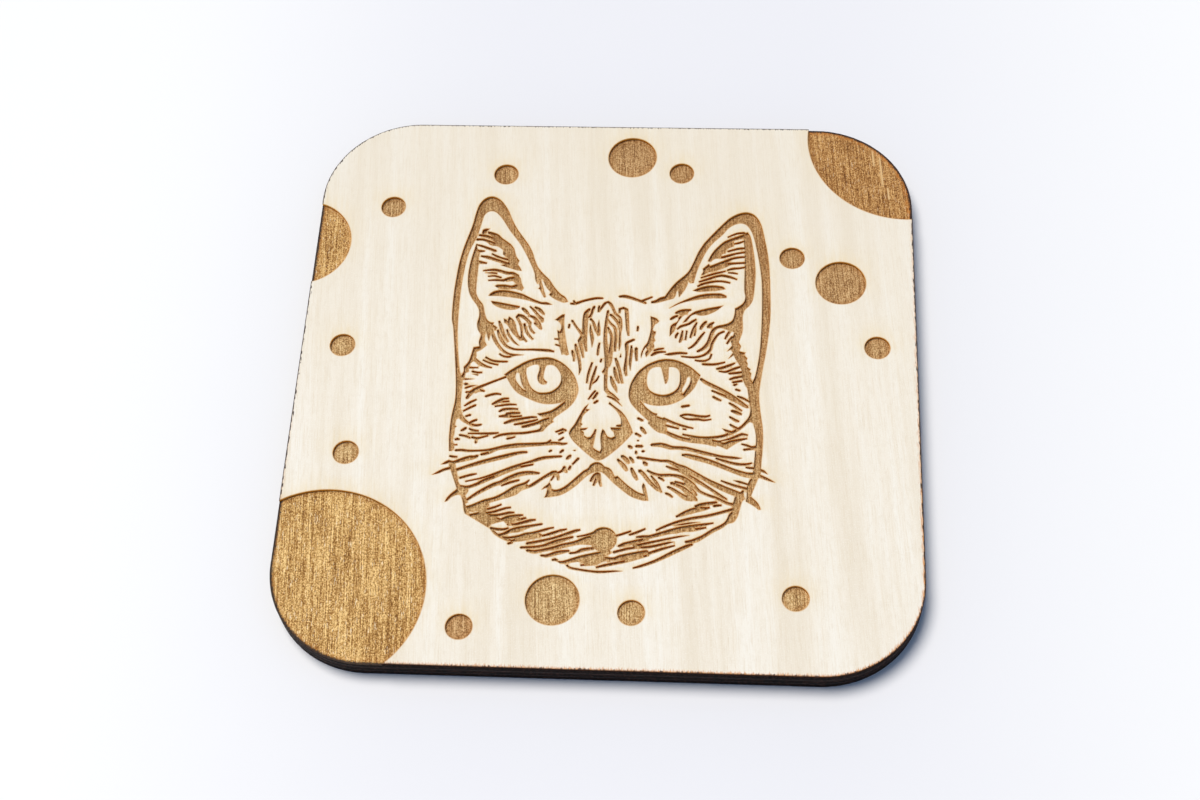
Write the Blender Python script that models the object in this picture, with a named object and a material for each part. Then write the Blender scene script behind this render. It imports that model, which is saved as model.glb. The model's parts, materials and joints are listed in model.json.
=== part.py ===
"""A square plywood drinks coaster with a laser-engraved face: three bonded plies and two glue lines.

Row frame: origin at the centre of the underside, +Z up through the plies, +Y towards the top of the engraved
picture, which is also the direction of the face grain. The drawing's own numbers are millimetres, from the
centre of the face.
"""

import math

import bmesh
import bpy
from mathutils import Vector
from mathutils.geometry import delaunay_2d_cdt

MM = 0.001

# Driving dimensions, in millimetres.
SIDE = 100.0
CORNER_RADIUS = 16.0
THICKNESS = 4.0
FACE_PLY = 1.3
BACK_PLY = 1.3
GLUE = 0.1
BOND_GAP = 0.01  # clearance between bonded faces, which keeps the solids from touching
ENGRAVING_DEPTH = 0.5
BEAM = 0.1  # the laser's own width, which each stroke of the drawing gains
CORNER_STEPS = 14
CUTTER_RISE = 1.0  # how far the engraving's cutter stands above the face

# Round pockets: the radius doubles from one size to the next.
DOT_RADIUS = 2.06
DOTS = (
    (1, -43.26, 5.05), (1, -40.46, -14.63), (1, -37.65, 32.5), (1, -19.95, -43.61), (1, -18.85, 39.58),
    (1, 5.85, -40.59), (1, 11.19, 40.27), (1, 29.92, 23.38), (1, 30.46, -37.56), (1, 43.59, 6.43),
    (1, 1.08, -28.62),
    (2, -6.15, -38.85), (2, 2.65, 43.48), (2, 37.88, 18.69),
    (4, -52.4, 25.05), (8, -41.99, -37.75), (8, 49.11, 47.97),
)  # fmt: skip

# The cat's head. Patches and islands are outlines, x then y round the edge.
# Ears, each as one band that runs down the side of the head.
LEFT_EAR = (
    -24, -14, -24.2, -12, -24.25, -10, -24.2, -8, -24, -6, -23.85, -4.5, -23.95, -2, -24.15, -0.3, -24.35,
    1, -24.65, 3, -24.9, 5, -25.15, 7.5, -25.35, 9, -25.65, 10.2, -25.75, 12, -25.8, 15, -25.65, 18.5,
    -25.4, 21.5, -25, 24, -24.2, 27.3, -23.7, 29.5, -23.35, 31.8, -22.9, 33.4, -22.3, 34.3, -21.6, 34.8,
    -20.9, 34.95, -20.2, 34.75, -19.3, 34.1, -18.6, 33.2, -17.9, 32, -17.1, 30.1, -16.2, 28.4, -15, 26.6,
    -14, 25.1, -13.3, 23.7, -12.8, 22.2, -12.2, 20.8, -11.2, 19.5, -10.1, 18.3, -9.2, 16.9, -8.1, 15.6,
    -7.3, 15, -6.8, 14.1, -7.4, 13.95, -8.3, 14.25, -9.3, 14.8, -10, 15.4, -9.7, 15.9, -10.4, 16.7, -11,
    17.9, -11.3, 18.6, -11.8, 18, -12.05, 17.5, -12.4, 18.2, -12.6, 19.4, -13.2, 20.9, -13.8, 22.3, -14.6,
    23.9, -15.4, 25.3, -16.4, 26.7, -17.4, 28.1, -18.3, 29.6, -19.2, 30.9, -20, 31.7, -20.7, 31.95, -21.4,
    31.75, -21.95, 31.1, -22.2, 30, -22.55, 28.2, -22.9, 26.6, -23.5, 25, -23.95, 23.6, -24.3, 21.5,
    -24.6, 18.5, -24.75, 15, -24.7, 11.5, -24.6, 8.3, -24.4, 6, -24.1, 4, -23.8, 1.8, -23.5, 0.3, -23.25,
    -0.35, -22.95, -1, -22.9, -3, -22.95, -5, -22.8, -6.4, -22.5, -7.4, -22, -8.1, -21.4, -8.6, -21.1,
    -9.1, -21.8, -8.95, -22.5, -8.5, -23, -8, -23.4, -8.3, -23.5, -9.4, -23.2, -9.6, -23.5, -9.85, -23.5,
    -11, -23.65, -12, -23.35, -12.8, -23.3, -13.5, -23.6, -14,
)  # fmt: skip
RIGHT_EAR = (
    9.1, 15.5, 9.7, 16.4, 10.3, 17.5, 11, 18.4, 12, 19.4, 12.7, 20.2, 13.2, 21.4, 13.9, 23, 14.5, 24.5,
    15.3, 26, 16.3, 27.3, 17.4, 28.6, 18.5, 30, 19.5, 31.2, 20.6, 31.95, 21.6, 32.35, 22.6, 32.4, 23.5,
    32, 24.2, 31.2, 24.75, 30, 25.1, 28.4, 25.5, 26.4, 25.9, 24, 26.15, 21.5, 26.3, 18.5, 26.4, 15, 26.4,
    12.5, 26.25, 10, 26, 7.8, 25.75, 5.5, 25.4, 3, 25.05, 1, 24.8, -1, 24.65, -3, 24.8, -5, 25.1, -7,
    25.3, -9, 25.35, -11, 25.25, -13, 25.1, -15, 25, -17, 24.6, -17.7, 24.3, -18.6, 23.9, -19.6, 23.55,
    -20.7, 24.1, -21.3, 24.7, -21.9, 25.1, -22.9, 24.8, -22.95, 24.3, -22.5, 23.5, -22, 22.85, -21.6,
    22.95, -20.4, 22.9, -19.3, 23.05, -18.6, 23.4, -17.8, 23.9, -17.2, 23.9, -16.4, 24, -15.3, 24.15,
    -13.8, 24.2, -12.5, 24.3, -11, 24.2, -9.5, 24, -8.5, 23.8, -7.8, 23.3, -7.6, 22.9, -7.9, 22.3, -8.6,
    21.5, -9.3, 20.6, -9.75, 20.2, -9.45, 21, -9, 21.8, -8.4, 22.5, -7.6, 23.05, -6.8, 23.3, -6, 23.35,
    -5, 23.2, -4.1, 23, -2.8, 22.8, -1.5, 22.4, -0.5, 23.6, -0.45, 24, 0.6, 24.3, 2.2, 24.6, 4, 24.8, 6,
    24.95, 8.5, 25.05, 12, 25.05, 16, 24.95, 19, 24.7, 21.3, 24.35, 23.4, 24.05, 25.3, 23.7, 27, 23.3,
    28.3, 22.8, 29.3, 22.2, 29.95, 21.5, 30.2, 20.7, 30.05, 20, 29.7, 19.2, 29, 18.5, 28, 17.6, 27, 16.7,
    26, 15.9, 24.8, 15.3, 23.5, 14.8, 22.2, 14.3, 20.7, 14, 19.3, 13.75, 18.2, 13.2, 18.15, 12.85, 18.6,
    12.7, 17.8, 12.35, 16.9, 11.9, 16.1, 11.45, 15.4, 11.35, 16.2, 11.25, 16.9, 10.95, 16.4, 10.8, 15.6,
    10.5, 15.1, 9.6, 14.85, 8.5, 14.5, 7.6, 14.15, 6.9, 14.1, 6.9, 14.5, 7.6, 14.75, 8.3, 15.25,
)  # fmt: skip
LEFT_EAR_LINING = (
    -22.85, 25.1, -23.1, 24, -23.4, 22.5, -23.65, 20.5, -23.7, 18.5, -23.5, 16.6, -23.1, 15.2, -22.4, 14,
    -21.7, 13, -21.3, 12, -21.25, 11, -21.45, 9.6, -21.2, 8.4, -20.7, 7.5, -20.9, 6.2, -20.75, 5.3, -21.7,
    5.1, -21.85, 4.4, -22, 3.5, -22.3, 2.4, -23, 1.35, -22.9, 0.7, -23.3, -0.4, -23, -1.05, -22.6, -0.6,
    -22.6, 0.2, -22.1, 0.5, -22.2, 1.2, -21.8, 2.2, -21.3, 2.7, -21.1, 3.4, -21.2, 4.2, -20.5, 4.6, -20,
    5.1, -19.6, 5.5, -20, 6.4, -20, 7.4, -19.9, 8.3, -19.5, 7, -19.3, 6.4, -19.2, 7.2, -18.95, 8.5, -18.4,
    8.35, -18.1, 8.9, -18.6, 9.3, -18.9, 9.4, -18.7, 9.85, -19.3, 9.9, -19.9, 10.4, -20.3, 11.3, -20.7,
    12.6, -20.9, 13.4, -21.6, 14.3, -22.1, 15.4, -22.05, 17, -22.1, 19, -22.15, 21, -22.25, 22.5, -22.1,
    23.7, -22.55, 24.1,
)  # fmt: skip
RIGHT_EAR_LINING = (
    21.9, 28.2, 22.6, 28.4, 23, 27.5, 23.3, 26, 23.6, 24, 23.8, 22, 23.9, 20, 23.8, 18, 23.6, 16, 23.4,
    14.8, 22.9, 13.9, 22.2, 13.1, 21.9, 12.2, 21.9, 10.5, 21.85, 8.8, 21.5, 7.7, 21.3, 7, 21.7, 6.2, 21.4,
    5.3, 22.45, 5.05, 22.2, 4.65, 22.75, 4, 22.6, 3.5, 22.8, 3, 22.7, 2.45, 23.3, 1.95, 23.05, 1.6, 23.4,
    1.2, 23.35, 0.2, 23.7, -0.5, 23.2, -1.2, 22.6, -1.2, 22.3, -0.4, 22, 0.2, 21.9, 0.9, 21.9, 1.8, 21.6,
    2.6, 21.2, 3.3, 20.8, 4, 20.5, 4.9, 20.1, 5.6, 20.3, 6.4, 20.1, 7.2, 20.4, 8, 20.6, 8.8, 20.2, 9.1,
    19.4, 9.3, 18.3, 9.6, 18.5, 10, 19.4, 10.2, 20, 10.6, 20.35, 11.4, 20.6, 12.4, 20.65, 13.4, 21.5, 14,
    22.1, 14.7, 22.3, 15.5, 22.15, 16.8, 22.2, 18.5, 22.15, 20.5, 22.15, 22.5, 22.1, 24.5, 22, 26, 21.9,
    27,
)  # fmt: skip
EAR_PATCHES = (
    (-22.1, 27.4, -22, 28.1, -21.5, 28.35, -20.8, 28.3, -21.2, 27.9, -21.3, 27.4, -21.9, 27.2),
    (-21.1, 27.8, -20.2, 27.6, -19.3, 27.2, -18.6, 26.5, -17.8, 25.8, -17, 25.2, -16.5, 24.5, -16.2, 23.5,
     -15.9, 22.7, -15.4, 22, -15.6, 21.2, -15.1, 20.5, -14.9, 20, -15.6, 20.1, -16.4, 20.4, -17.4, 20.7,
     -18.4, 21.05, -17.6, 21.3, -17.1, 21.9, -17.3, 22.4, -18.2, 23.2, -18.2, 24.1, -18.9, 24.6, -19.3,
     25, -19.5, 25.8, -19.9, 26.5, -20.5, 27, -21.1, 27.4),
    (-15.6, 19.3, -15, 18.6, -14.7, 17.5, -14.3, 16.6, -14.6, 16.1, -15.6, 16.4, -17, 16.3, -18.4, 16.5,
     -19.1, 16.9, -18.8, 17.2, -17.5, 17.25, -16.2, 17.1, -15.5, 17.4, -16.2, 18, -17.2, 17.8, -17.9,
     18.3, -17, 18.7, -16.1, 18.8),
    (-20, 15, -19.8, 15.4, -19.2, 15.9, -18.2, 16.15, -16.8, 16.1, -15.4, 15.8, -14.2, 15.4, -13.2, 14.85,
     -12.1, 14.35, -11.1, 13.95, -10.3, 13.95, -9.4, 13.5, -10.2, 13.45, -11.4, 13.6, -12.5, 14, -13.6,
     14.3, -15, 14.55, -16.6, 14.85, -18.2, 15),
    (-19.5, 14, -18.4, 13.85, -17, 13.55, -15.6, 13.3, -14.7, 13.1, -14.7, 12.8, -15.3, 12.5, -16.5, 12.4,
     -17.7, 12.65, -18.7, 13.1, -19.3, 13.6),
    (16, 22.5, 16.4, 23.5, 17, 24.6, 17.8, 25.6, 18.7, 26.5, 19.8, 27.1, 20.8, 27.5, 22.1, 27.9, 22.1,
     27.1, 21, 26.9, 20.2, 26.6, 20.4, 26, 20.2, 25.5, 19.5, 25.2, 19, 24.7, 18.9, 24.1, 18.3, 23.95,
     18.2, 23.5, 17.6, 23.25, 17, 22.95, 16.5, 22.4),
    (15, 19.8, 15.3, 20.5, 15.2, 21, 15.7, 21.5, 16.2, 22, 16.4, 21.6, 17.2, 22, 18.2, 22.4, 19.1, 22.8,
     20, 23.3, 21, 23.55, 22.3, 23.65, 22.3, 23.3, 21, 23.1, 20, 22.8, 19.3, 22.3, 20.3, 22.35, 21.2,
     22.45, 22.3, 22.5, 22.3, 22.1, 21, 22, 19.8, 21.8, 19, 21.35, 18, 20.95, 17, 20.5, 16, 20.25, 15.3,
     19.8),
    (13.7, 16.7, 14.3, 17.1, 15, 17.4, 16, 17.7, 17, 17.8, 18, 17.7, 18.7, 17.5, 19, 17.1, 18.3, 16.9,
     17.2, 16.8, 16.2, 16.7, 15.3, 16.6, 14.5, 16.5),
    (9.9, 13.2, 10.8, 13.9, 11.8, 14.5, 12.8, 15.05, 13.8, 15.5, 14.8, 15.9, 16, 16.15, 17.3, 16.25, 18.4,
     16.2, 19.2, 15.8, 19.2, 15.4, 18.3, 15.3, 17, 15.3, 15.6, 15.1, 14.2, 14.9, 13, 14.6, 12, 14.3, 11,
     13.75),
    (12.2, 10.5, 12.7, 11.3, 13.3, 12, 14, 12.6, 15, 13, 16, 13.3, 17, 13.5, 18, 13.75, 18.7, 13.9, 18.2,
     13.4, 17.6, 12.9, 16.8, 12.4, 15.8, 12, 14.8, 11.95, 14.2, 12.15, 13.6, 11.9, 13.1, 11.3, 12.7, 10.7),
)  # fmt: skip
# Strokes run x, y, width along their middle.
EAR_STROKES = (
    (-11.75, 18.3, 0.3, -11.35, 16.8, 0.4, -10.65, 14.9, 0.2),
    (-11.7, 16.6, 0.3, -11.2, 16.9, 0.3),
    (-22.5, 27, 0.3, -21.3, 26.8, 0.5, -20.3, 26.4, 0.5, -19.5, 25.8, 0.5),
    (-22.8, 26.1, 0.4, -21.8, 26.1, 0.35, -21, 25.8, 0.4, -20.3, 25.4, 0.7, -19.2, 25.1, 0.5),
    (-22.9, 25.1, 0.15, -21.9, 24.8, 0.3, -20.7, 24.3, 0.4, -19.5, 23.85, 0.4),
    (-22.6, 23.8, 0.5, -22, 23.75, 0.4, -21.3, 23.8, 0.15),
    (-21.9, 22.8, 0.2, -20.9, 22.6, 0.5, -19.5, 22.1, 0.45, -18.3, 21.7, 0.45, -17.1, 21.3, 0.4),
    (-20.1, 23.3, 0.15, -19.2, 22.8, 0.3, -18.2, 22.4, 0.3, -17.1, 22.1, 0.35),
    (-22.4, 21.7, 0.5, -21.7, 21.5, 0.4, -20.8, 21.4, 0.2),
    (-21.3, 19.9, 0.15, -20.2, 20, 0.35, -19.4, 20.1, 0.4, -18.3, 19.8, 0.4, -17.2, 19.5, 0.5, -16.3,
     19.45, 0.5, -15.4, 18.9, 0.5),
    (-20.4, 18.8, 0.15, -19.3, 18.9, 0.25, -18.2, 18.6, 0.25),
    (-20.3, 18, 0.15, -19, 18.1, 0.3, -17.6, 18, 0.3),
    (-20.9, 19.35, 0.1, -19.8, 19.5, 0.2, -18.9, 19.4, 0.2),
    (19.2, 27.3, 0.15, 20, 27.75, 0.25, 21, 28.15, 0.3, 22, 28.25, 0.35),
    (20.4, 26, 0.3, 21, 26.2, 0.35, 21.9, 26.6, 0.3),
    (19.3, 24.5, 0.25, 20.2, 24.8, 0.35, 21.2, 25.1, 0.35, 22.2, 25.2, 0.3),
    (17.2, 23, 0.15, 18.4, 23.3, 0.35, 19.5, 23.7, 0.3, 20.7, 24.1, 0.3, 22.4, 24.45, 0.3),
    (14.9, 19.2, 0.15, 16, 19.6, 0.3, 17, 20, 0.35, 18, 20.3, 0.3, 19, 20.6, 0.2),
    (19.3, 20.8, 0.25, 20.2, 21.1, 0.35, 21.2, 21.2, 0.3, 22.3, 21.45, 0.25),
    (19.4, 20.3, 0.15, 20.3, 20.25, 0.25, 21, 20.1, 0.15),
    (14.6, 18.4, 0.2, 15.4, 18.7, 0.35, 16.4, 19.1, 0.4, 17.4, 19.5, 0.35, 18.4, 19.7, 0.4, 19.5, 19.5,
     0.4, 20.3, 19.2, 0.35, 20.9, 19, 0.2),
    (14.4, 17.5, 0.2, 15, 17.9, 0.35, 16, 18.2, 0.3, 17, 18.5, 0.35, 18, 18.6, 0.3, 19, 18.5, 0.3, 19.8,
     18.3, 0.2),
)  # fmt: skip
EYE_PATCHES = (
    (-16.3, 0.1, -15.6, 0.75, -14.8, 1.35, -14, 1.95, -13.2, 2.5, -12.3, 2.95, -11.4, 3.25, -10.4, 3.42,
     -9.5, 3.47, -8.6, 3.3, -7.8, 2.95, -7, 2.45, -6.3, 1.85, -5.7, 1.2, -5.1, 0.35, -4.7, -0.5, -4.4,
     -1.4, -4.2, -2.4, -4.3, -3.3, -4.6, -4.2, -5, -5, -5.6, -5.75, -6.3, -6.35, -7.1, -7.05, -7.8, -7.7,
     -8, -8.1, -7.8, -8.4, -8.5, -8.95, -9, -9.5, -9.4, -10.1, -10.1, -10.1, -10.6, -10.2, -10.4, -9.9,
     -9.9, -9.6, -9.75, -9.1, -10, -8.75, -10.2, -8.4, -9.8, -8, -9.2, -7.75, -8.6, -7.5, -9.2, -7.45,
     -10, -7.35, -10.5, -6.95, -10.1, -6.8, -9.2, -6.62, -8.4, -6.32, -7.7, -5.87, -7.1, -5.35, -6.6,
     -4.9, -6.2, -4.5, -6.6, -4.72, -7.3, -4.95, -8.2, -5.12, -9.2, -5.15, -10.3, -4.95, -11.4, -4.55,
     -12.3, -4.05, -13.1, -3.65, -13.9, -3.2, -14.5, -2.6, -15, -1.9, -15.35, -1.1, -15.6, -0.5),
    (15.3, 0.7, 14.9, 1.15, 14.3, 1.65, 13.6, 2.25, 12.9, 2.7, 12.1, 3.1, 11.3, 3.4, 10.4, 3.57, 9.4,
     3.57, 8.5, 3.37, 7.6, 3, 6.8, 2.55, 6.1, 2, 5.5, 1.4, 5, 0.7, 4.6, -0.1, 4.25, -0.9, 4.02, -1.8,
     3.92, -2.8, 4, -3.7, 4.35, -4.6, 4.85, -5.3, 5.4, -5.95, 6, -6.55, 6.7, -7.25, 7.3, -7.85, 7.25,
     -8.3, 7.75, -8.8, 8.3, -9.4, 9, -9.85, 9.7, -10.05, 10.3, -9.9, 10.2, -9.3, 10.1, -8.75, 9.9, -8.25,
     10.2, -7.85, 9.8, -7.35, 9, -7.05, 8.5, -6.9, 8.6, -6.5, 8.1, -6.38, 7.5, -6, 7, -5.58, 6.5, -5.07,
     6.1, -4.57, 5.8, -4.15, 6.2, -4.35, 6.7, -4.62, 7.4, -4.87, 8.2, -5, 9.2, -5, 10.1, -4.88, 11, -4.6,
     11.8, -4.2, 12.6, -3.65, 13.2, -3.1, 13.8, -2.4, 14.3, -1.7, 14.7, -0.9, 15, -0.1),
)  # fmt: skip
# Plain wood left standing inside the eyes: each iris, its pupil cut in from the top, and a glint beside it.
EYE_ISLANDS = (
    (-12.8, 1.4, -12.2, 1.8, -11.6, 2.05, -10.9, 2.1, -10.7, 1.8, -10.65, 1.2, -10.8, 0.5, -10.9, -0.2,
     -10.8, -0.8, -10.5, -1.3, -10, -1.58, -9.4, -1.5, -9.3, -1.1, -9.7, -0.8, -9.95, -0.3, -9.9, 0.4,
     -9.8, 1.1, -9.7, 1.7, -9.5, 2, -8.8, 2.1, -8.1, 1.8, -7.6, 1.2, -7.2, 0.5, -7.03, -0.3, -7.1, -1.1,
     -7.4, -1.8, -7.9, -2.35, -8.5, -2.8, -9.2, -3.03, -10, -3.1, -10.6, -3.05, -11.1, -2.8, -11.7, -2.3,
     -12.1, -1.7, -12.4, -1, -12.6, -0.2, -12.8, 0.6),
    (7.1, 1.5, 7.6, 1.9, 8.2, 2.1, 8.8, 2.12, 9, 1.9, 9.15, 1.2, 9.3, 0.5, 9.5, -0.3, 9.7, -1, 9.9, -0.9,
     10.1, -0.2, 10.15, 0.6, 10.1, 1.4, 10.15, 2.1, 10.8, 2.15, 11.5, 1.9, 11.9, 1.35, 12.02, 0.7, 12.05,
     0, 12, -0.8, 11.8, -1.5, 11.4, -2.1, 10.8, -2.6, 10.1, -2.92, 9.3, -3.05, 8.5, -2.92, 7.8, -2.65,
     7.2, -2.2, 6.85, -1.5, 6.7, -0.8, 6.7, 0, 6.8, 0.8),
    (-14.4, 0.4, -14.1, 0.6, -13.8, 0.4, -13.7, -0.2, -13.5, -0.9, -13.3, -1.6, -12.95, -2.2, -12.6,
     -2.75, -13, -2.6, -13.5, -2.1, -14, -1.5, -14.4, -0.8, -14.5, -0.1),
    (13.45, 0.55, 13.7, 0.4, 13.75, -0.2, 13.6, -0.9, 13.3, -1.5, 12.9, -2.1, 12.6, -2.75, 12.35, -2.6,
     12.4, -2, 12.7, -1.3, 12.95, -0.6, 13.1, 0.1),
)  # fmt: skip
NOSE = (
    -2.4, -5, -3, -5.6, -3.5, -6.6, -4, -7.8, -4.5, -8.8, -5.1, -9.8, -5.22, -10.3, -4.9, -11.1, -4.3,
    -11.9, -3.6, -12.6, -2.8, -13.35, -2, -14.05, -1.2, -14.7, -0.5, -15, 0.2, -14.9, 1, -14.3, 1.9,
    -13.5, 2.8, -12.6, 3.6, -11.6, 4.3, -10.8, 4.85, -10, 4.5, -9, 4, -8, 3.5, -7, 2.9, -6.25, 2.2, -5.65,
    1.5, -5.1, 0.95, -4.55, 0.8, -4.9, 1.4, -5.5, 2.1, -6.1, 2.5, -6.8, 2.9, -7.6, 2.95, -8.55, 2.2, -8.7,
    2.2, -8.95, 2.9, -9.15, 2.2, -9.2, 1.3, -9.15, 1.4, -9.5, 1.8, -9.9, 2.05, -10.7, 1.5, -11, 0.95,
    -10.8, 0.6, -10.2, 0.3, -9.7, 0.05, -9.5, -0.1, -10, -0.2, -11, -0.12, -12, 0, -13, -0.2, -13.5, -0.8,
    -13.2, -1.35, -12.8, -1.25, -12.2, -1.1, -11.2, -0.95, -10.2, -0.9, -9.6, -1.15, -9.5, -1.4, -10.2,
    -1.8, -10.9, -2.3, -11.02, -2.85, -10.7, -2.9, -10.1, -3.3, -9.8, -2.6, -9.65, -2.3, -9.3, -3, -9.4,
    -3.55, -9.45, -3.4, -9, -3.2, -8.7, -3.45, -8.4, -3.35, -7.8, -3.2, -7.2, -2.7, -6.6, -2.2, -6, -2.8,
    -5.9, -2.6, -5.5,
)  # fmt: skip
MOUTH = (
    -7.4, -20.25, -6.8, -20.35, -6.2, -20.2, -5.5, -19.8, -4.9, -19.3, -4.3, -18.75, -3.7, -18.1, -3.1,
    -17.4, -2.5, -16.85, -1.95, -16.5, -1.5, -15.8, -1, -15.45, -0.4, -15.35, 0.2, -15.6, 0.7, -16.1, 1.3,
    -16.3, 1.7, -16.6, 2.1, -17.3, 2.3, -17.85, 2.8, -17.7, 3.2, -18.1, 3.9, -18.8, 4.6, -19.4, 5.4, -20,
    6.2, -20.5, 7, -20.75, 6.85, -20, 6.7, -19.3, 6.85, -18.85, 7.05, -19.1, 7.25, -19.9, 7.5, -20.7, 7.7,
    -21.85, 7, -21.85, 6.2, -21.6, 5.5, -21.4, 4.8, -21.05, 4.2, -20.6, 3.5, -20, 2.8, -19.35, 2.1, -18.8,
    1.5, -18.2, 0.9, -17.55, 0.3, -17.1, -0.3, -17, -1, -17.3, -1.6, -17.5, -2.1, -17.9, -2.7, -18.6,
    -3.3, -19.2, -3.9, -19.8, -4.6, -20.4, -5.3, -20.9, -6.1, -21.3, -7, -21.5, -7.8, -21.6, -8.4, -21.75,
    -8.15, -21, -8, -20.2, -8.3, -20.05, -8.9, -20.4, -8.6, -19.95, -8.1, -19.5, -7.8, -19.1, -7.5, -19.7,
)  # fmt: skip
BROW_PATCHES = (
    (-8.7, 10.6, -8.2, 11.1, -7.6, 11.6, -7.2, 11.7, -7.25, 10.8, -7.2, 9.8, -7.1, 8.8, -6.9, 7.6, -6.7,
     6.5, -6.4, 5.3, -6.1, 4.1, -6.4, 3.9, -6.9, 4.2, -7.1, 4.5, -7.2, 4, -7.4, 4.7, -7.6, 5.6, -7.9, 6.5,
     -8, 7.5, -8.2, 8.6, -7.8, 8.4, -7.6, 8.9, -7.7, 9.8, -8.1, 10.3),
    (6.9, 11.6, 7.4, 11.4, 7.9, 11.2, 8.3, 10.7, 8, 10.3, 7.7, 10.1, 7.45, 9.6, 7.3, 9.1, 7.5, 8.75, 7.85,
     8.7, 7.8, 8.2, 7.6, 7.6, 7.8, 7, 7.5, 6.5, 7.7, 5.9, 7.5, 5.4, 7.1, 4.9, 6.75, 4.3, 6.45, 3.9, 6.3,
     4.6, 6.6, 5.3, 6.3, 5.7, 6, 5.1, 5.85, 4.3, 5.65, 3.7, 5.6, 4.3, 5.75, 5, 6.1, 5.9, 6.5, 6.5, 6.65,
     7.4, 6.85, 8.4, 7.05, 9.2, 7, 10.1, 6.9, 10.9),
    (10.15, 7.9, 10.15, 9, 10.3, 9.9, 10.7, 10.3, 11.2, 10.6, 11.7, 11.2, 11.9, 11.6, 11.7, 11, 11.3,
     10.3, 11, 9.6, 10.9, 9, 10.5, 8.5),
    (-16.3, 11.05, -15.7, 10.6, -15.2, 9.7, -14.9, 8.6, -14.4, 7.4, -13.8, 7, -13.5, 6.6, -14.2, 6.5,
     -14.8, 7.1, -15.5, 7.9, -16, 8.7, -16.5, 9.5, -17, 9.9, -17.15, 10.65, -16.8, 10.5, -16.4, 10.1,
     -16.45, 10.5),
)  # fmt: skip
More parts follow.
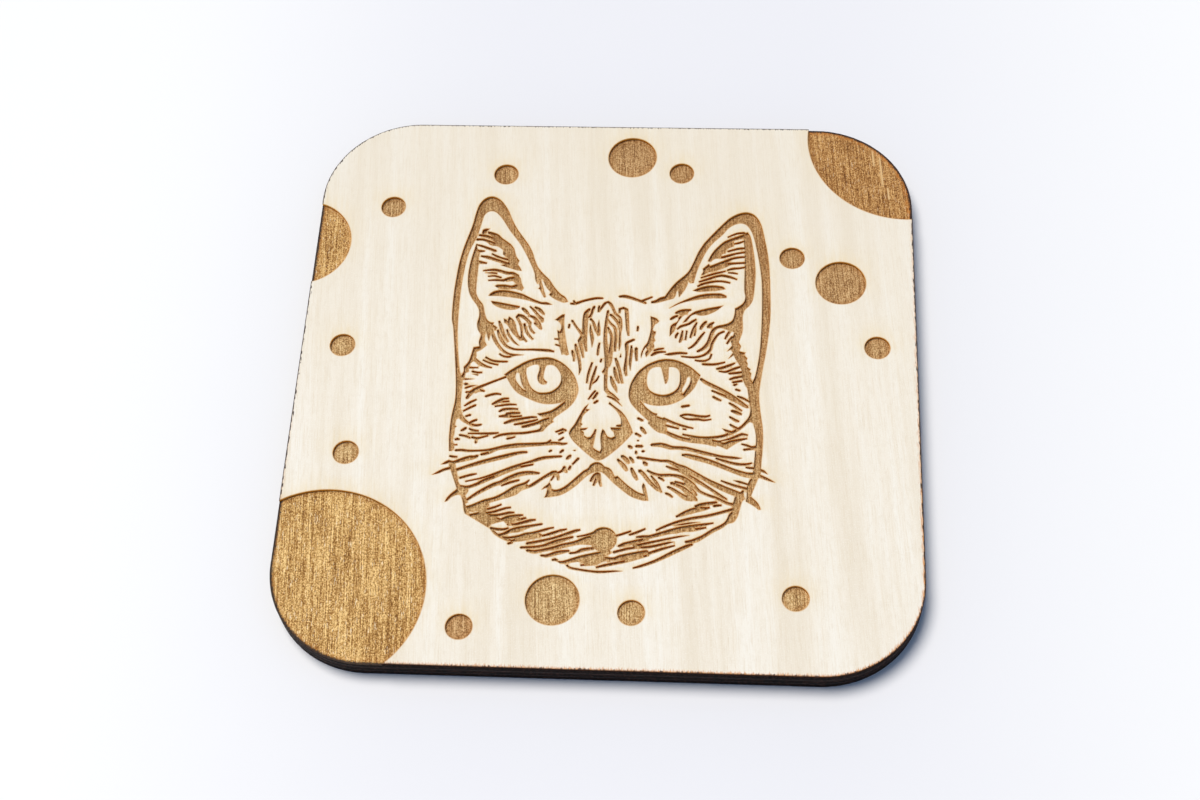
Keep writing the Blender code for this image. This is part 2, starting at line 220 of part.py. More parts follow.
FOREHEAD = (
    (-6.4, 13.75, 0.2, -5.7, 13.75, 0.4, -5, 14, 0.35, -4, 14.4, 0.35, -3, 14.7, 0.35, -2, 14.9, 0.35,
     -1.1, 14.9, 0.25),
    (-5.9, 14.4, 0.15, -5.6, 13.9, 0.3),
    (1.65, 15.3, 0.3, 2.5, 15.35, 0.5, 3.5, 15.1, 0.45, 4.5, 14.7, 0.45, 5.3, 14.4, 0.4, 6, 14.1, 0.3),
    (5.2, 14.45, 0.3, 6.2, 14.9, 0.35, 7, 15.3, 0.25),
    (-8.6, 6.95, 0.15, -7.9, 6.9, 0.25),
    (-8.4, 5.9, 0.15, -7.6, 5.65, 0.25),
    (-6.3, 9.75, 0.25, -6.35, 9.1, 0.25),
    (-5.9, 10.5, 0.3, -5.5, 9.9, 0.35, -5.1, 9.2, 0.3, -4.6, 8.5, 0.35, -4, 7.7, 0.4),
    (-3.15, 12.8, 0.3, -3.65, 12.1, 0.6, -3.75, 11, 0.75, -3.75, 10, 0.7, -3.7, 9, 0.7, -3.7, 8, 0.75,
     -3.6, 7, 0.6, -3.5, 6, 0.4, -3.25, 4.7, 0.15),
    (-4, 7.6, 0.6, -4.4, 6.7, 0.7, -4.2, 5.8, 0.55, -4, 4.9, 0.4, -3.7, 3.5, 0.15),
    (-2.4, 13.3, 0.3, -2.6, 12.6, 0.4, -2.75, 12, 0.3, -2.95, 11.4, 0.4, -3.3, 11.1, 0.3),
    (-2.9, 10.9, 0.3, -2.5, 10.4, 0.3, -2.2, 9.5, 0.3, -1.9, 8.7, 0.3, -1.5, 8, 0.4, -1.4, 7.7, 0.2),
    (-3, 9.9, 0.1, -2.8, 9, 0.25, -2.6, 8, 0.3, -2.4, 7, 0.35, -2.3, 5.5, 0.1),
    (-1.6, 10.7, 0.1, -1.5, 9.8, 0.25, -1.4, 8.8, 0.3, -1.4, 7.8, 0.3),
    (-1.2, 6.4, 0.15, -1.3, 5.6, 0.3, -1.4, 4.1, 0.25),
    (-0.75, 3.4, 0.2, -0.85, 2.8, 0.25),
    (-5.1, 6, 0.25, -4.9, 5, 0.35, -4.55, 4, 0.35, -4.3, 2.5, 0.35, -4.1, 1.2, 0.25, -4.15, 0.3, 0.1),
    (-5.6, 4.9, 0.15, -5.4, 4.2, 0.35, -5.2, 3.5, 0.3, -5.2, 2.8, 0.15),
    (-2.2, 2.7, 0.2, -2.4, 1.8, 0.3, -2.7, 0.6, 0.3, -2.9, -1.2, 0.15),
    (-1.5, 2, 0.15, -1.7, 1, 0.3, -2, -0.2, 0.3, -2.2, -1.3, 0.3, -2.35, -2.4, 0.15),
    (-1, 0.2, 0.15, -1.4, -0.7, 0.25, -2, -1.4, 0.25),
    (-1.4, -2.5, 0.2, -1.9, -3.2, 0.25, -2.5, -4.2, 0.15),
    (-1.1, -2.9, 0.3, -1.4, -3.6, 0.3, -1.8, -4.1, 0.15),
    (-1.5, -4.8, 0.3, -1, -4.4, 0.35),
    (-1.65, 12.2, 0.2, -1.6, 12.9, 0.35, -1.6, 13.5, 0.15),
    (-1.5, 12.5, 0.3, -1, 13.3, 0.35, -0.6, 14, 0.35, -0.15, 14.2, 0.35, 0.2, 13.9, 0.35, 0.6, 13.2, 0.35,
     0.9, 12.5, 0.35, 1.2, 11.9, 0.3, 1.85, 11.3, 0.3, 2, 10.5, 0.35, 2.1, 9.7, 0.4, 2.05, 8.9, 0.3, 2, 8,
     0.3, 2.05, 7, 0.3, 2.1, 6, 0.25, 2.15, 5, 0.1),
    (-0.1, 12.5, 0.3, -0.2, 11.5, 0.35, -0.3, 10.5, 0.35, -0.35, 9.5, 0.35, -0.35, 8.3, 0.4, -0.3, 7, 0.5,
     -0.2, 6, 0.5, -0.1, 5, 0.55, 0.1, 4, 0.65, 0.15, 3, 0.6, 0.15, 2, 0.6, 0.05, 1.2, 0.5, 0.1, 0.4,
     0.35, 0.1, -0.6, 0.35, 0.15, -1.6, 0.4, 0.3, -2.4, 0.5, 0.8, -2.9, 0.5, 1.4, -3.3, 0.35, 2.4, -4.2,
     0.15),
    (0, 1.6, 0.3, -0.35, 0.9, 0.35),
    (2.25, 4.4, 0.1, 2.3, 3.8, 0.2),
    (0.3, 11.8, 0.3, 0.8, 11.3, 0.4, 1.3, 10.7, 0.4, 1.7, 10.1, 0.4, 1.95, 9.3, 0.3),
    (-0.1, 10.9, 0.2, 0.5, 10, 0.3, 1, 9.5, 0.35, 1.3, 8.7, 0.35, 1.4, 7.7, 0.35, 1.4, 6.8, 0.35, 1.35,
     5.9, 0.35, 1.4, 4.8, 0.15),
    (0, 9.4, 0.2, 0.4, 8.5, 0.35, 0.7, 7.6, 0.35, 0.7, 6.6, 0.3, 0.65, 5.6, 0.4, 0.6, 4.6, 0.55, 0.6, 3.6,
     0.6, 0.65, 2.8, 0.4, 0.65, 2, 0.15),
    (1.8, 12.1, 0.2, 1.8, 12.9, 0.4, 2.4, 13.1, 0.4, 2.9, 12.8, 0.5, 3, 12, 0.5, 3.1, 11, 0.5, 3.2, 10,
     0.5, 3.3, 9, 0.45, 3.45, 7.8, 0.15),
    (4.9, 9.7, 0.2, 4.9, 9.2, 0.3, 4.85, 8.7, 0.2),
    (3.1, 6.4, 0.35, 3.7, 6.7, 0.35, 4.35, 7.1, 0.35),
    (3.2, 6.5, 0.4, 3.3, 5.5, 0.4, 3.3, 4.5, 0.3, 3.2, 3.3, 0.3, 3.2, 2.3, 0.4, 3.2, 1.3, 0.45, 3.4, 0.3,
     0.2),
    (4, 6, 0.15, 4.05, 5, 0.3, 4, 3.9, 0.3, 3.95, 2.6, 0.3, 4.1, 1.3, 0.1),
    (4.8, 5.5, 0.4, 4.8, 4.6, 0.35, 4.95, 3.1, 0.2),
    (1.5, 3.6, 0.2, 1.7, 3, 0.4, 1.9, 2.3, 0.35, 2.2, 1.5, 0.35, 2.4, 0.6, 0.35, 2.6, -0.3, 0.35, 2.85,
     -1.1, 0.2),
    (1.4, 1.9, 0.15, 1.5, 1.2, 0.35, 1.7, 0.4, 0.45, 2, -0.4, 0.4, 2.3, -1.1, 0.15),
    (0.9, 0.2, 0.15, 1.1, -0.6, 0.35, 1.4, -1.4, 0.45, 1.8, -2.1, 0.35, 2.15, -2.8, 0.1),
    (0.5, -3.5, 0.15, 1.2, -3.8, 0.3, 1.9, -4.2, 0.3, 3, -5.2, 0.1),
)  # fmt: skip
TEMPLES = (
    (-14.2, 12.7, 0.35, -13.6, 12.1, 0.5, -13, 11.5, 0.2),
    (-13, 13.1, 0.15, -12.3, 12.3, 0.35, -11.5, 11.3, 0.4, -10.85, 10.65, 0.55, -10.75, 10.15, 0.25),
    (-12.2, 13, 0.2, -11.4, 12.5, 0.5, -10.6, 11.6, 0.25),
    (-13.1, 11.3, 0.3, -12.3, 11, 0.4, -11.7, 10.35, 0.45, -11.3, 9.75, 0.45, -10.9, 8.8, 0.3),
    (-12, 9.9, 0.3, -11.3, 9.3, 0.35),
    (-15.1, 10.9, 0.25, -14.8, 11.4, 0.4, -14.2, 11.2, 0.5, -13.4, 10.5, 0.5, -12.8, 9.9, 0.5, -12.75,
     9.2, 0.25, -12.4, 8.4, 0.3, -11.9, 7.9, 0.2),
    (-15, 11, 0.25, -14.6, 10.2, 0.3, -14.2, 9.2, 0.3, -14, 8.2, 0.3, -13.9, 7.3, 0.4, -13.1, 6.3, 0.2),
    (-13.7, 9.7, 0.3, -13.4, 8.8, 0.35, -13, 7.8, 0.35, -12.4, 7.1, 0.35, -12.1, 6.75, 0.2),
    (-17.9, 10.2, 0.2, -17.6, 9.4, 0.4, -17.2, 8.3, 0.4, -16.8, 7.3, 0.35, -16.1, 6.2, 0.15),
    (-16.5, 8.6, 0.15, -16.2, 7.8, 0.25, -15.6, 6.8, 0.25, -14.9, 6, 0.2, -14.2, 5.6, 0.1),
    (-18, 8.5, 0.2, -17.6, 7.3, 0.4, -17, 6.2, 0.4, -16.3, 5.4, 0.35, -15.2, 4.9, 0.3, -13.5, 4.8, 0.25,
     -12, 4.85, 0.3, -10.4, 4.75, 0.35, -9.2, 4.7, 0.4, -8.5, 4.55, 0.2),
    (-19, 8.5, 0.3, -18.5, 7, 0.45, -17.8, 5.7, 0.4, -16.9, 4.6, 0.35, -16, 4, 0.3, -14.8, 3.8, 0.3,
     -13.4, 3.9, 0.1),
    (-17.4, 3.95, 0.15, -16.7, 3.5, 0.3, -15.8, 3.4, 0.3, -15.1, 3.7, 0.3),
    (-19.6, 3.3, 0.2, -18.6, 2.7, 0.3, -17.3, 2.5, 0.3, -16, 2.5, 0.25),
    (-20, 2.75, 0.15, -19, 2.25, 0.25, -17.4, 1.85, 0.2),
    (-21.5, 3, 0.5, -20.5, 2.1, 0.55, -19.4, 1.55, 0.35, -18.4, 1.3, 0.15),
    (-22.3, 1.25, 0.3, -20.6, 1.25, 0.15),
    (-21.5, 0.55, 0.3, -20.7, 0.35, 0.3, -19.9, 0.4, 0.2),
    (-21.5, -0.05, 0.1, -20.6, -0.1, 0.15),
    (-22.7, -0.9, 0.25, -21.1, -0.75, 0.1),
    (-22.5, -1.8, 0.4, -22.1, -1.8, 0.25),
    (-22.4, -2.55, 0.25, -21.5, -2.2, 0.25, -20.6, -1.9, 0.1),
    (-22.2, -3.3, 0.3, -21.7, -3.2, 0.15),
    (9.4, 4.3, 0.1, 10, 4.45, 0.35, 11, 4.65, 0.35, 12, 4.75, 0.35, 13, 4.7, 0.25),
    (7.3, 4.2, 0.25, 7.8, 4.6, 0.45, 8.6, 4.85, 0.35, 9.6, 4.9, 0.2),
    (7.6, 5.1, 0.2, 8.4, 5.4, 0.3, 9.3, 5.55, 0.15),
    (12.1, 4.1, 0.15, 13, 4.05, 0.25, 14.2, 4, 0.3, 15.2, 4.2, 0.3, 16, 4.6, 0.35, 16.6, 5.2, 0.4, 16.9,
     5.8, 0.35, 17, 6.5, 0.35, 17.3, 7.2, 0.35, 17.7, 7.9, 0.4, 18.1, 8.5, 0.3, 18.9, 8.95, 0.3),
    (14.3, 3.45, 0.15, 15, 3.35, 0.3, 16, 3.4, 0.25, 16.7, 3.8, 0.2, 17, 4.7, 0.2),
    (15.6, 2.75, 0.3, 16.5, 2.7, 0.35, 17.5, 2.75, 0.35, 18.4, 3, 0.3, 19.2, 3.2, 0.2),
    (17.8, 1.9, 0.2, 18.6, 2.1, 0.45, 19.4, 2.4, 0.45, 20.2, 2.75, 0.35, 20.8, 3.1, 0.15),
    (18.2, 1.5, 0.15, 19.2, 1.4, 0.3, 20, 1.7, 0.3, 20.8, 2.1, 0.3, 21.8, 2.45, 0.25),
    (19.9, 1.1, 0.3, 20.8, 1.2, 0.35, 22.1, 1.45, 0.3),
    (20, 0.05, 0.25, 20.6, 0.3, 0.35, 21.3, 0.45, 0.4, 22.1, 0.65, 0.3),
    (20.5, -0.5, 0.3, 21.2, -0.35, 0.4, 21.9, -0.2, 0.35),
    (20.7, -1, 0.35, 21.2, -0.8, 0.2),
    (21, -1.8, 0.3, 21.6, -2, 0.3),
    (20.3, 10.9, 0.3, 19.6, 10.3, 0.4, 18.6, 10, 0.4, 17.8, 9.7, 0.45, 17.3, 9.3, 0.5, 17, 8.7, 0.5, 16.7,
     7.8, 0.45, 16.4, 6.8, 0.45, 16, 6.1, 0.5, 15.4, 5.5, 0.45, 14.7, 5.1, 0.3),
    (15.8, 8.8, 0.15, 15.3, 8.1, 0.3, 14.8, 7.3, 0.35, 14.3, 6.5, 0.35, 13.7, 5.9, 0.3, 13.2, 5.6, 0.2),
    (17.3, 10.7, 0.15, 16.7, 10.3, 0.35, 16.3, 9.7, 0.35),
    (16.9, 10.2, 0.2, 16.8, 9.7, 0.3),
    (16, 10.8, 0.25, 15.6, 10.3, 0.45, 15.2, 9.6, 0.4, 15.1, 9.2, 0.2),
    (14.5, 10.6, 0.15, 14.2, 9.9, 0.35, 14, 9.2, 0.35, 13.7, 8.5, 0.3, 13.5, 7.6, 0.2),
    (14.3, 9.2, 0.2, 14.15, 8, 0.15),
    (12.9, 9, 0.15, 12.8, 8.2, 0.25, 12.7, 7.2, 0.2),
    (12.2, 9, 0.15, 12.1, 8.2, 0.35, 12, 7.4, 0.4, 11.8, 6.8, 0.25),
    (11.5, 8.6, 0.2, 11.2, 8, 0.35, 11.1, 7.5, 0.15),
    (11.3, 9.2, 0.15, 11.8, 9.7, 0.35, 12.5, 10, 0.3, 13.2, 10.3, 0.35, 13.8, 10.8, 0.3, 14.4, 11.2, 0.2),
    (11, 12.3, 0.25, 11.6, 12.6, 0.5, 12.3, 12.75, 0.6, 13, 12.85, 0.5, 13.5, 13, 0.2),
    (11.6, 12.2, 0.3, 12.2, 12.2, 0.5, 12.8, 12.4, 0.5),
    (12.5, 12.5, 0.4, 12, 11.8, 0.3, 11.6, 11.3, 0.3),
    (10.2, 11.1, 0.3, 10.7, 11.5, 0.4, 11.3, 11.8, 0.3),
    (20, 9.2, 0.3, 19.5, 8.3, 0.4, 19.1, 7.5, 0.2),
    (20.3, 8, 0.3, 19.8, 7.3, 0.3, 19.4, 6.6, 0.2),
    (20.3, 6.2, 0.3, 19.6, 5.2, 0.1),
    (20.7, 5, 0.3, 19.8, 3.8, 0.1),
)  # fmt: skip
CHEEKS = (
    (-15.9, -0.3, 0.3, -17, -0.8, 0.35, -18.5, -1.5, 0.35, -20, -2.25, 0.4, -20.8, -2.75, 0.55, -21.4,
     -3.3, 0.6, -21.7, -3.9, 0.5, -22, -4.4, 0.4),
    (-20.8, -3.1, 0.7, -20.2, -2.9, 0.5, -19.3, -3.05, 0.25),
    (-19, -4, 0.3, -18.2, -3.7, 0.35, -17.3, -3.5, 0.35, -16.5, -3.6, 0.2),
    (-17.8, -5.4, 0.25, -17, -4.9, 0.45, -16.1, -4.4, 0.35, -15.3, -4.3, 0.25),
    (-17.2, -5.1, 0.3, -16.3, -4.95, 0.3, -15.1, -4.8, 0.2),
    (-17.4, -5.8, 0.2, -16.2, -5.6, 0.25, -15, -5.4, 0.3, -13.9, -5.4, 0.15),
    (-16.6, -6.7, 0.25, -16.1, -6.4, 0.4, -15.1, -6.2, 0.35, -13.6, -6.2, 0.2),
    (-15.4, -7.15, 0.45, -14.4, -6.95, 0.4, -13.3, -6.9, 0.25),
    (-16.6, -7.6, 0.2, -15.4, -7.5, 0.35, -14.2, -7.6, 0.3, -12.9, -7.4, 0.2),
    (-22.3, -5.85, 0.15, -21.5, -5.2, 0.3, -20.4, -4.6, 0.2),
    (-22.4, -6.8, 0.2, -21.6, -6.3, 0.35, -20.5, -5.65, 0.3),
    (-21.9, -7.7, 0.25, -21.2, -7.45, 0.35),
    (-21.4, -9, 0.25, -20.7, -8.55, 0.3, -20.1, -8.3, 0.3),
    (-21.5, -8.95, 0.3, -20.7, -9.25, 0.35, -19.9, -9.3, 0.35, -19.3, -9.15, 0.25),
    (-22.4, -10.3, 0.25, -22, -10.05, 0.4, -21.7, -9.8, 0.35),
    (-21.2, -9.9, 0.15, -20.6, -10.2, 0.35, -19.6, -10.3, 0.2),
    (-21.3, -10.8, 0.15, -20, -10.8, 0.3, -18.8, -10.8, 0.3, -17.5, -10.75, 0.3, -16.4, -10.55, 0.15),
    (-22.6, -11.1, 0.25, -21.6, -11.3, 0.3, -20.9, -11.6, 0.25),
    (-20.6, -11.45, 0.3, -19.8, -11.65, 0.4, -19, -11.4, 0.35, -18, -11.1, 0.2),
    (-19.85, -11.8, 0.25, -19.9, -12.4, 0.35),
    (-23.3, -11.95, 0.2, -22.9, -11.8, 0.35, -22.5, -11.9, 0.2),
    (-23.25, -12.95, 0.15, -22.8, -12.85, 0.2),
    (-17.2, -11.5, 0.15, -16.2, -11, 0.35, -15, -10.75, 0.4, -13.8, -10.6, 0.35, -12.4, -10.5, 0.35, -11,
     -10.25, 0.35, -10.2, -10.05, 0.4),
    (-15, -11.6, 0.25, -14.3, -11.4, 0.3, -13.7, -11.2, 0.15),
    (-23, -13.85, 0.3, -21.9, -13.8, 0.35, -21, -13.9, 0.35, -19.5, -13.85, 0.3, -18, -13.7, 0.35, -16.5,
     -13.4, 0.55, -15, -13, 0.65, -13.5, -12.75, 0.7, -12, -12.65, 0.75, -10.5, -12.5, 0.7, -9, -12.35,
     0.65, -8, -12.25, 0.55, -7, -12.2, 0.45, -6, -12.3, 0.35, -5.4, -12.15, 0.15),
    (-8, -11.6, 0.15, -8.5, -12.1, 0.4),
    (-18.9, -14.5, 0.3, -18.3, -14.35, 0.4, -17.6, -14.1, 0.4, -17, -13.8, 0.3),
    (-23.9, -14.85, 0.2, -23.3, -15, 0.3, -22.6, -15, 0.15),
    (-25, -16.5, 0.1, -24.4, -16.1, 0.35, -23.9, -15.85, 0.45, -23.3, -16, 0.45, -22.5, -15.75, 0.5,
     -21.5, -15.35, 0.6, -20.5, -15.05, 0.6, -19.8, -14.95, 0.5, -19.4, -14.7, 0.3),
    (-22.6, -17.3, 0.4, -21.8, -17, 0.5, -21, -16.7, 0.6, -20, -16.35, 0.6, -19, -15.95, 0.6, -17.5,
     -15.5, 0.65, -16, -15.05, 0.6, -14.8, -14.65, 0.6, -13.5, -14.2, 0.5, -12.4, -13.95, 0.4, -11.7,
     -13.9, 0.3),
    (-26.3, -18.35, 0.1, -25.4, -17.8, 0.3, -24.5, -17.3, 0.35, -23.4, -16.95, 0.4),
    (-21.9, -18.7, 0.3, -21, -18.35, 0.3, -20.2, -18.1, 0.3, -19.3, -17.9, 0.15),
    (-21, -19.3, 0.15, -20, -19.05, 0.2, -18.6, -18.7, 0.1),
    (-18.6, -18.6, 0.1, -17.5, -18.2, 0.25, -16, -17.6, 0.3, -14.5, -16.9, 0.3, -13.3, -16.35, 0.3, -12,
     -15.85, 0.3, -10.8, -15.5, 0.4, -9.8, -15.1, 0.5, -9, -14.85, 0.5, -8, -14.7, 0.45, -7.2, -14.6, 0.4,
     -6.2, -14.5, 0.3),
    (-21.6, -20.2, 0.4, -20.8, -20.3, 0.45, -19.9, -20.05, 0.5, -19, -19.65, 0.5, -18, -19.05, 0.6, -17.2,
     -18.7, 0.6, -16.4, -18.3, 0.5, -15.3, -17.75, 0.45, -14, -17.15, 0.45, -12.8, -16.6, 0.4, -11.6,
     -16.3, 0.4, -10.6, -16.05, 0.25),
    (-20.5, -22.5, 0.3, -19.7, -21.85, 0.45, -18.9, -21.25, 0.5, -18, -20.65, 0.5, -17.2, -20.2, 0.55,
     -16.3, -19.65, 0.6, -15.4, -19.3, 0.6, -14.6, -18.75, 0.6, -13.7, -18.25, 0.6, -12.7, -17.85, 0.7,
     -11.7, -17.6, 0.65, -10.6, -17.5, 0.5, -9.5, -17.55, 0.25),
    (-15.3, -19.9, 0.15, -14.5, -19.5, 0.3, -13.5, -19.1, 0.3, -12.6, -18.85, 0.25),
    (15.4, 0, 0.35, 16, -0.5, 0.5, 17, -1.1, 0.5, 18, -1.6, 0.5, 19, -2.15, 0.5, 20, -2.8, 0.6, 20.8,
     -3.5, 0.75, 21.6, -4.1, 0.65, 22.2, -4.6, 0.5, 22.9, -5, 0.3),
    (17.2, -2.1, 0.25, 18, -2.5, 0.35, 19, -2.9, 0.4, 20, -3.4, 0.4, 21, -3.95, 0.35),
    (17.4, -3.2, 0.3, 18, -3.6, 0.35, 18.7, -3.9, 0.2),
    (20, -4.3, 0.25, 20.7, -4.8, 0.4, 21.4, -5.3, 0.35, 22, -5.7, 0.2),
    (20.4, -5.7, 0.35, 21, -5.9, 0.5, 21.6, -6.2, 0.4, 22, -6.3, 0.2),
    (20.1, -6.8, 0.25, 20.7, -7.2, 0.4, 21.2, -7.5, 0.4, 21.6, -7.6, 0.2),
    (20.1, -8.1, 0.15, 20.6, -8.5, 0.3, 21.3, -8.75, 0.35),
    (18.9, -9, 0.1, 19.6, -9.3, 0.3, 20.4, -9.55, 0.4),
    (21.2, -3, 0.15, 22, -3.35, 0.4, 22.6, -3.7, 0.3, 23.2, -4, 0.25),
    (12.5, -5.15, 0.4, 13, -5, 0.4, 13.6, -4.9, 0.35),
    (12.3, -6.8, 0.25, 12.8, -6.6, 0.3, 13.6, -6.55, 0.3, 14.5, -6.65, 0.35, 15.5, -6.85, 0.4, 16.4, -6.8,
     0.3, 17, -6.6, 0.2),
    (12.5, -7, 0.15, 13.2, -7.3, 0.25, 14.2, -7.4, 0.3, 15, -7.35, 0.35, 16, -7.5, 0.25, 17.2, -7.3, 0.15),
    (9.6, -7.4, 0.5, 10.5, -7.8, 0.4, 11.5, -8.2, 0.35, 12.6, -8.5, 0.35, 13.6, -8.8, 0.3, 14.4, -9, 0.15),
    (9.8, -8.55, 0.35, 10.4, -8.65, 0.3, 11.3, -8.9, 0.35, 12.1, -9.1, 0.2),
    (12.7, -9.15, 0.15, 13.3, -9.2, 0.2),
    (12.7, -10.1, 0.2, 14, -10.4, 0.3, 15.5, -10.6, 0.35, 17, -10.6, 0.4, 18.5, -10.4, 0.4, 19.5, -10.1,
     0.4, 20.5, -9.6, 0.5),
    (9.7, -9.6, 0.5, 10.3, -9.95, 0.55, 11.3, -10.4, 0.6, 12.5, -10.85, 0.6, 13.8, -11.15, 0.6, 15, -11.3,
     0.5, 16.2, -11.5, 0.4, 17.2, -11.8, 0.35, 18, -12, 0.2),
    (14, -10.8, 0.6, 15.3, -11, 0.7, 16.5, -11.1, 0.8, 17.5, -11.3, 0.8, 18.3, -11.5, 0.8, 19, -11.8, 0.7),
    (18.3, -11.3, 0.3, 19, -11, 0.2, 19.9, -10.8, 0.25, 20.6, -10.55, 0.4, 21.4, -10.15, 0.35, 22.2,
     -9.85, 0.35, 23, -10, 0.15),
    (18.9, -11.8, 0.6, 19.6, -11.75, 0.8, 20.2, -11.5, 0.9, 20.9, -11.25, 0.65, 21.5, -11, 0.4, 22.2,
     -10.75, 0.3, 22.9, -10.6, 0.15),
    (19, -12, 0.5, 19.7, -12.3, 0.5, 20.1, -11.9, 0.5),
    (22, -11.6, 0.15, 22.8, -11.8, 0.3, 23.6, -12.1, 0.3, 24.3, -12, 0.3),
    (22.4, -12.6, 0.3, 23.2, -12.5, 0.35, 24.3, -12.3, 0.3),
    (7.9, -12.1, 0.4, 8.6, -12.05, 0.55, 9.3, -12.05, 0.65, 10, -12.2, 0.7, 11, -12.5, 0.6, 12, -12.5,
     0.5, 13, -12.6, 0.6, 14, -12.8, 0.6, 15, -13, 0.5, 16, -13.3, 0.55, 17, -13.5, 0.55, 18, -13.7, 0.45,
     19, -13.9, 0.35, 20.3, -14.05, 0.35, 21.3, -14.1, 0.3, 22.1, -14, 0.1),
    (12.7, -13.75, 0.2, 13.3, -13.8, 0.5, 14, -14, 0.6, 15, -14.2, 0.7, 16, -14.5, 0.7, 17, -14.8, 0.7,
     18, -15.2, 0.7, 19, -15.6, 0.7, 20, -16, 0.65, 21, -16.4, 0.7, 22, -16.75, 0.75, 23, -17, 0.8, 24,
     -17, 0.8),
    (18, -14.2, 0.2, 18.8, -14.5, 0.3, 19.8, -14.8, 0.35, 21, -15.1, 0.4, 22.2, -15.2, 0.35, 23, -15.1,
     0.3, 23.7, -14.9, 0.15),
    (22.7, -15.7, 0.15, 23.5, -15.8, 0.3, 24.2, -15.8, 0.3),
    (24.8, -16.05, 0.4, 25.5, -16.3, 0.3, 26.2, -16.7, 0.1),
    (24.8, -17.1, 0.45, 25.7, -17.5, 0.35, 26.5, -17.85, 0.25, 27.3, -18.1, 0.1),
    (20.8, -18.1, 0.1, 21.6, -18.2, 0.25, 22.3, -18.4, 0.25, 23.1, -18.65, 0.2),
    (18.9, -18.1, 0.15, 20, -18.5, 0.3, 21, -18.9, 0.35, 22, -19.2, 0.35, 23.1, -19.45, 0.35),
    (5.8, -14.4, 0.4, 6.6, -14.5, 0.45, 7.5, -14.6, 0.4, 8.6, -14.8, 0.35, 9.6, -14.9, 0.35, 10.4, -14.9,
     0.4, 11.2, -15.2, 0.55, 12, -15.65, 0.65, 13, -16.1, 0.9, 14, -16.65, 0.85, 15, -17.1, 0.6, 16,
     -17.65, 0.55, 17, -18.25, 0.65, 18, -18.8, 0.75, 19, -19.25, 0.8, 20, -19.75, 0.85, 21, -20.15, 0.85,
     22, -20.3, 0.5, 22.4, -19.8, 0.3),
    (10.3, -15.8, 0.15, 11.2, -16.2, 0.35, 12, -16.4, 0.35, 13, -16.8, 0.45, 14, -17.5, 0.5, 15, -18.1,
     0.5, 16, -18.8, 0.45, 17, -19.4, 0.4, 18, -20.1, 0.4, 19, -20.8, 0.35, 19.8, -21.3, 0.25),
    (7.35, -16.6, 0.2, 8, -16.95, 0.35, 9, -17.35, 0.4, 10, -17.4, 0.45, 11, -17.35, 0.4, 12, -17.45,
     0.45, 12.9, -17.75, 0.6, 13.7, -18.25, 0.6, 14.5, -18.8, 0.5, 15, -19.4, 0.45, 15.6, -20, 0.35, 16.5,
     -20.4, 0.35, 17.3, -20.8, 0.35, 18.2, -21.1, 0.35, 19, -21.5, 0.4, 20, -22, 0.4, 21, -22.25, 0.45),
)  # fmt: skip
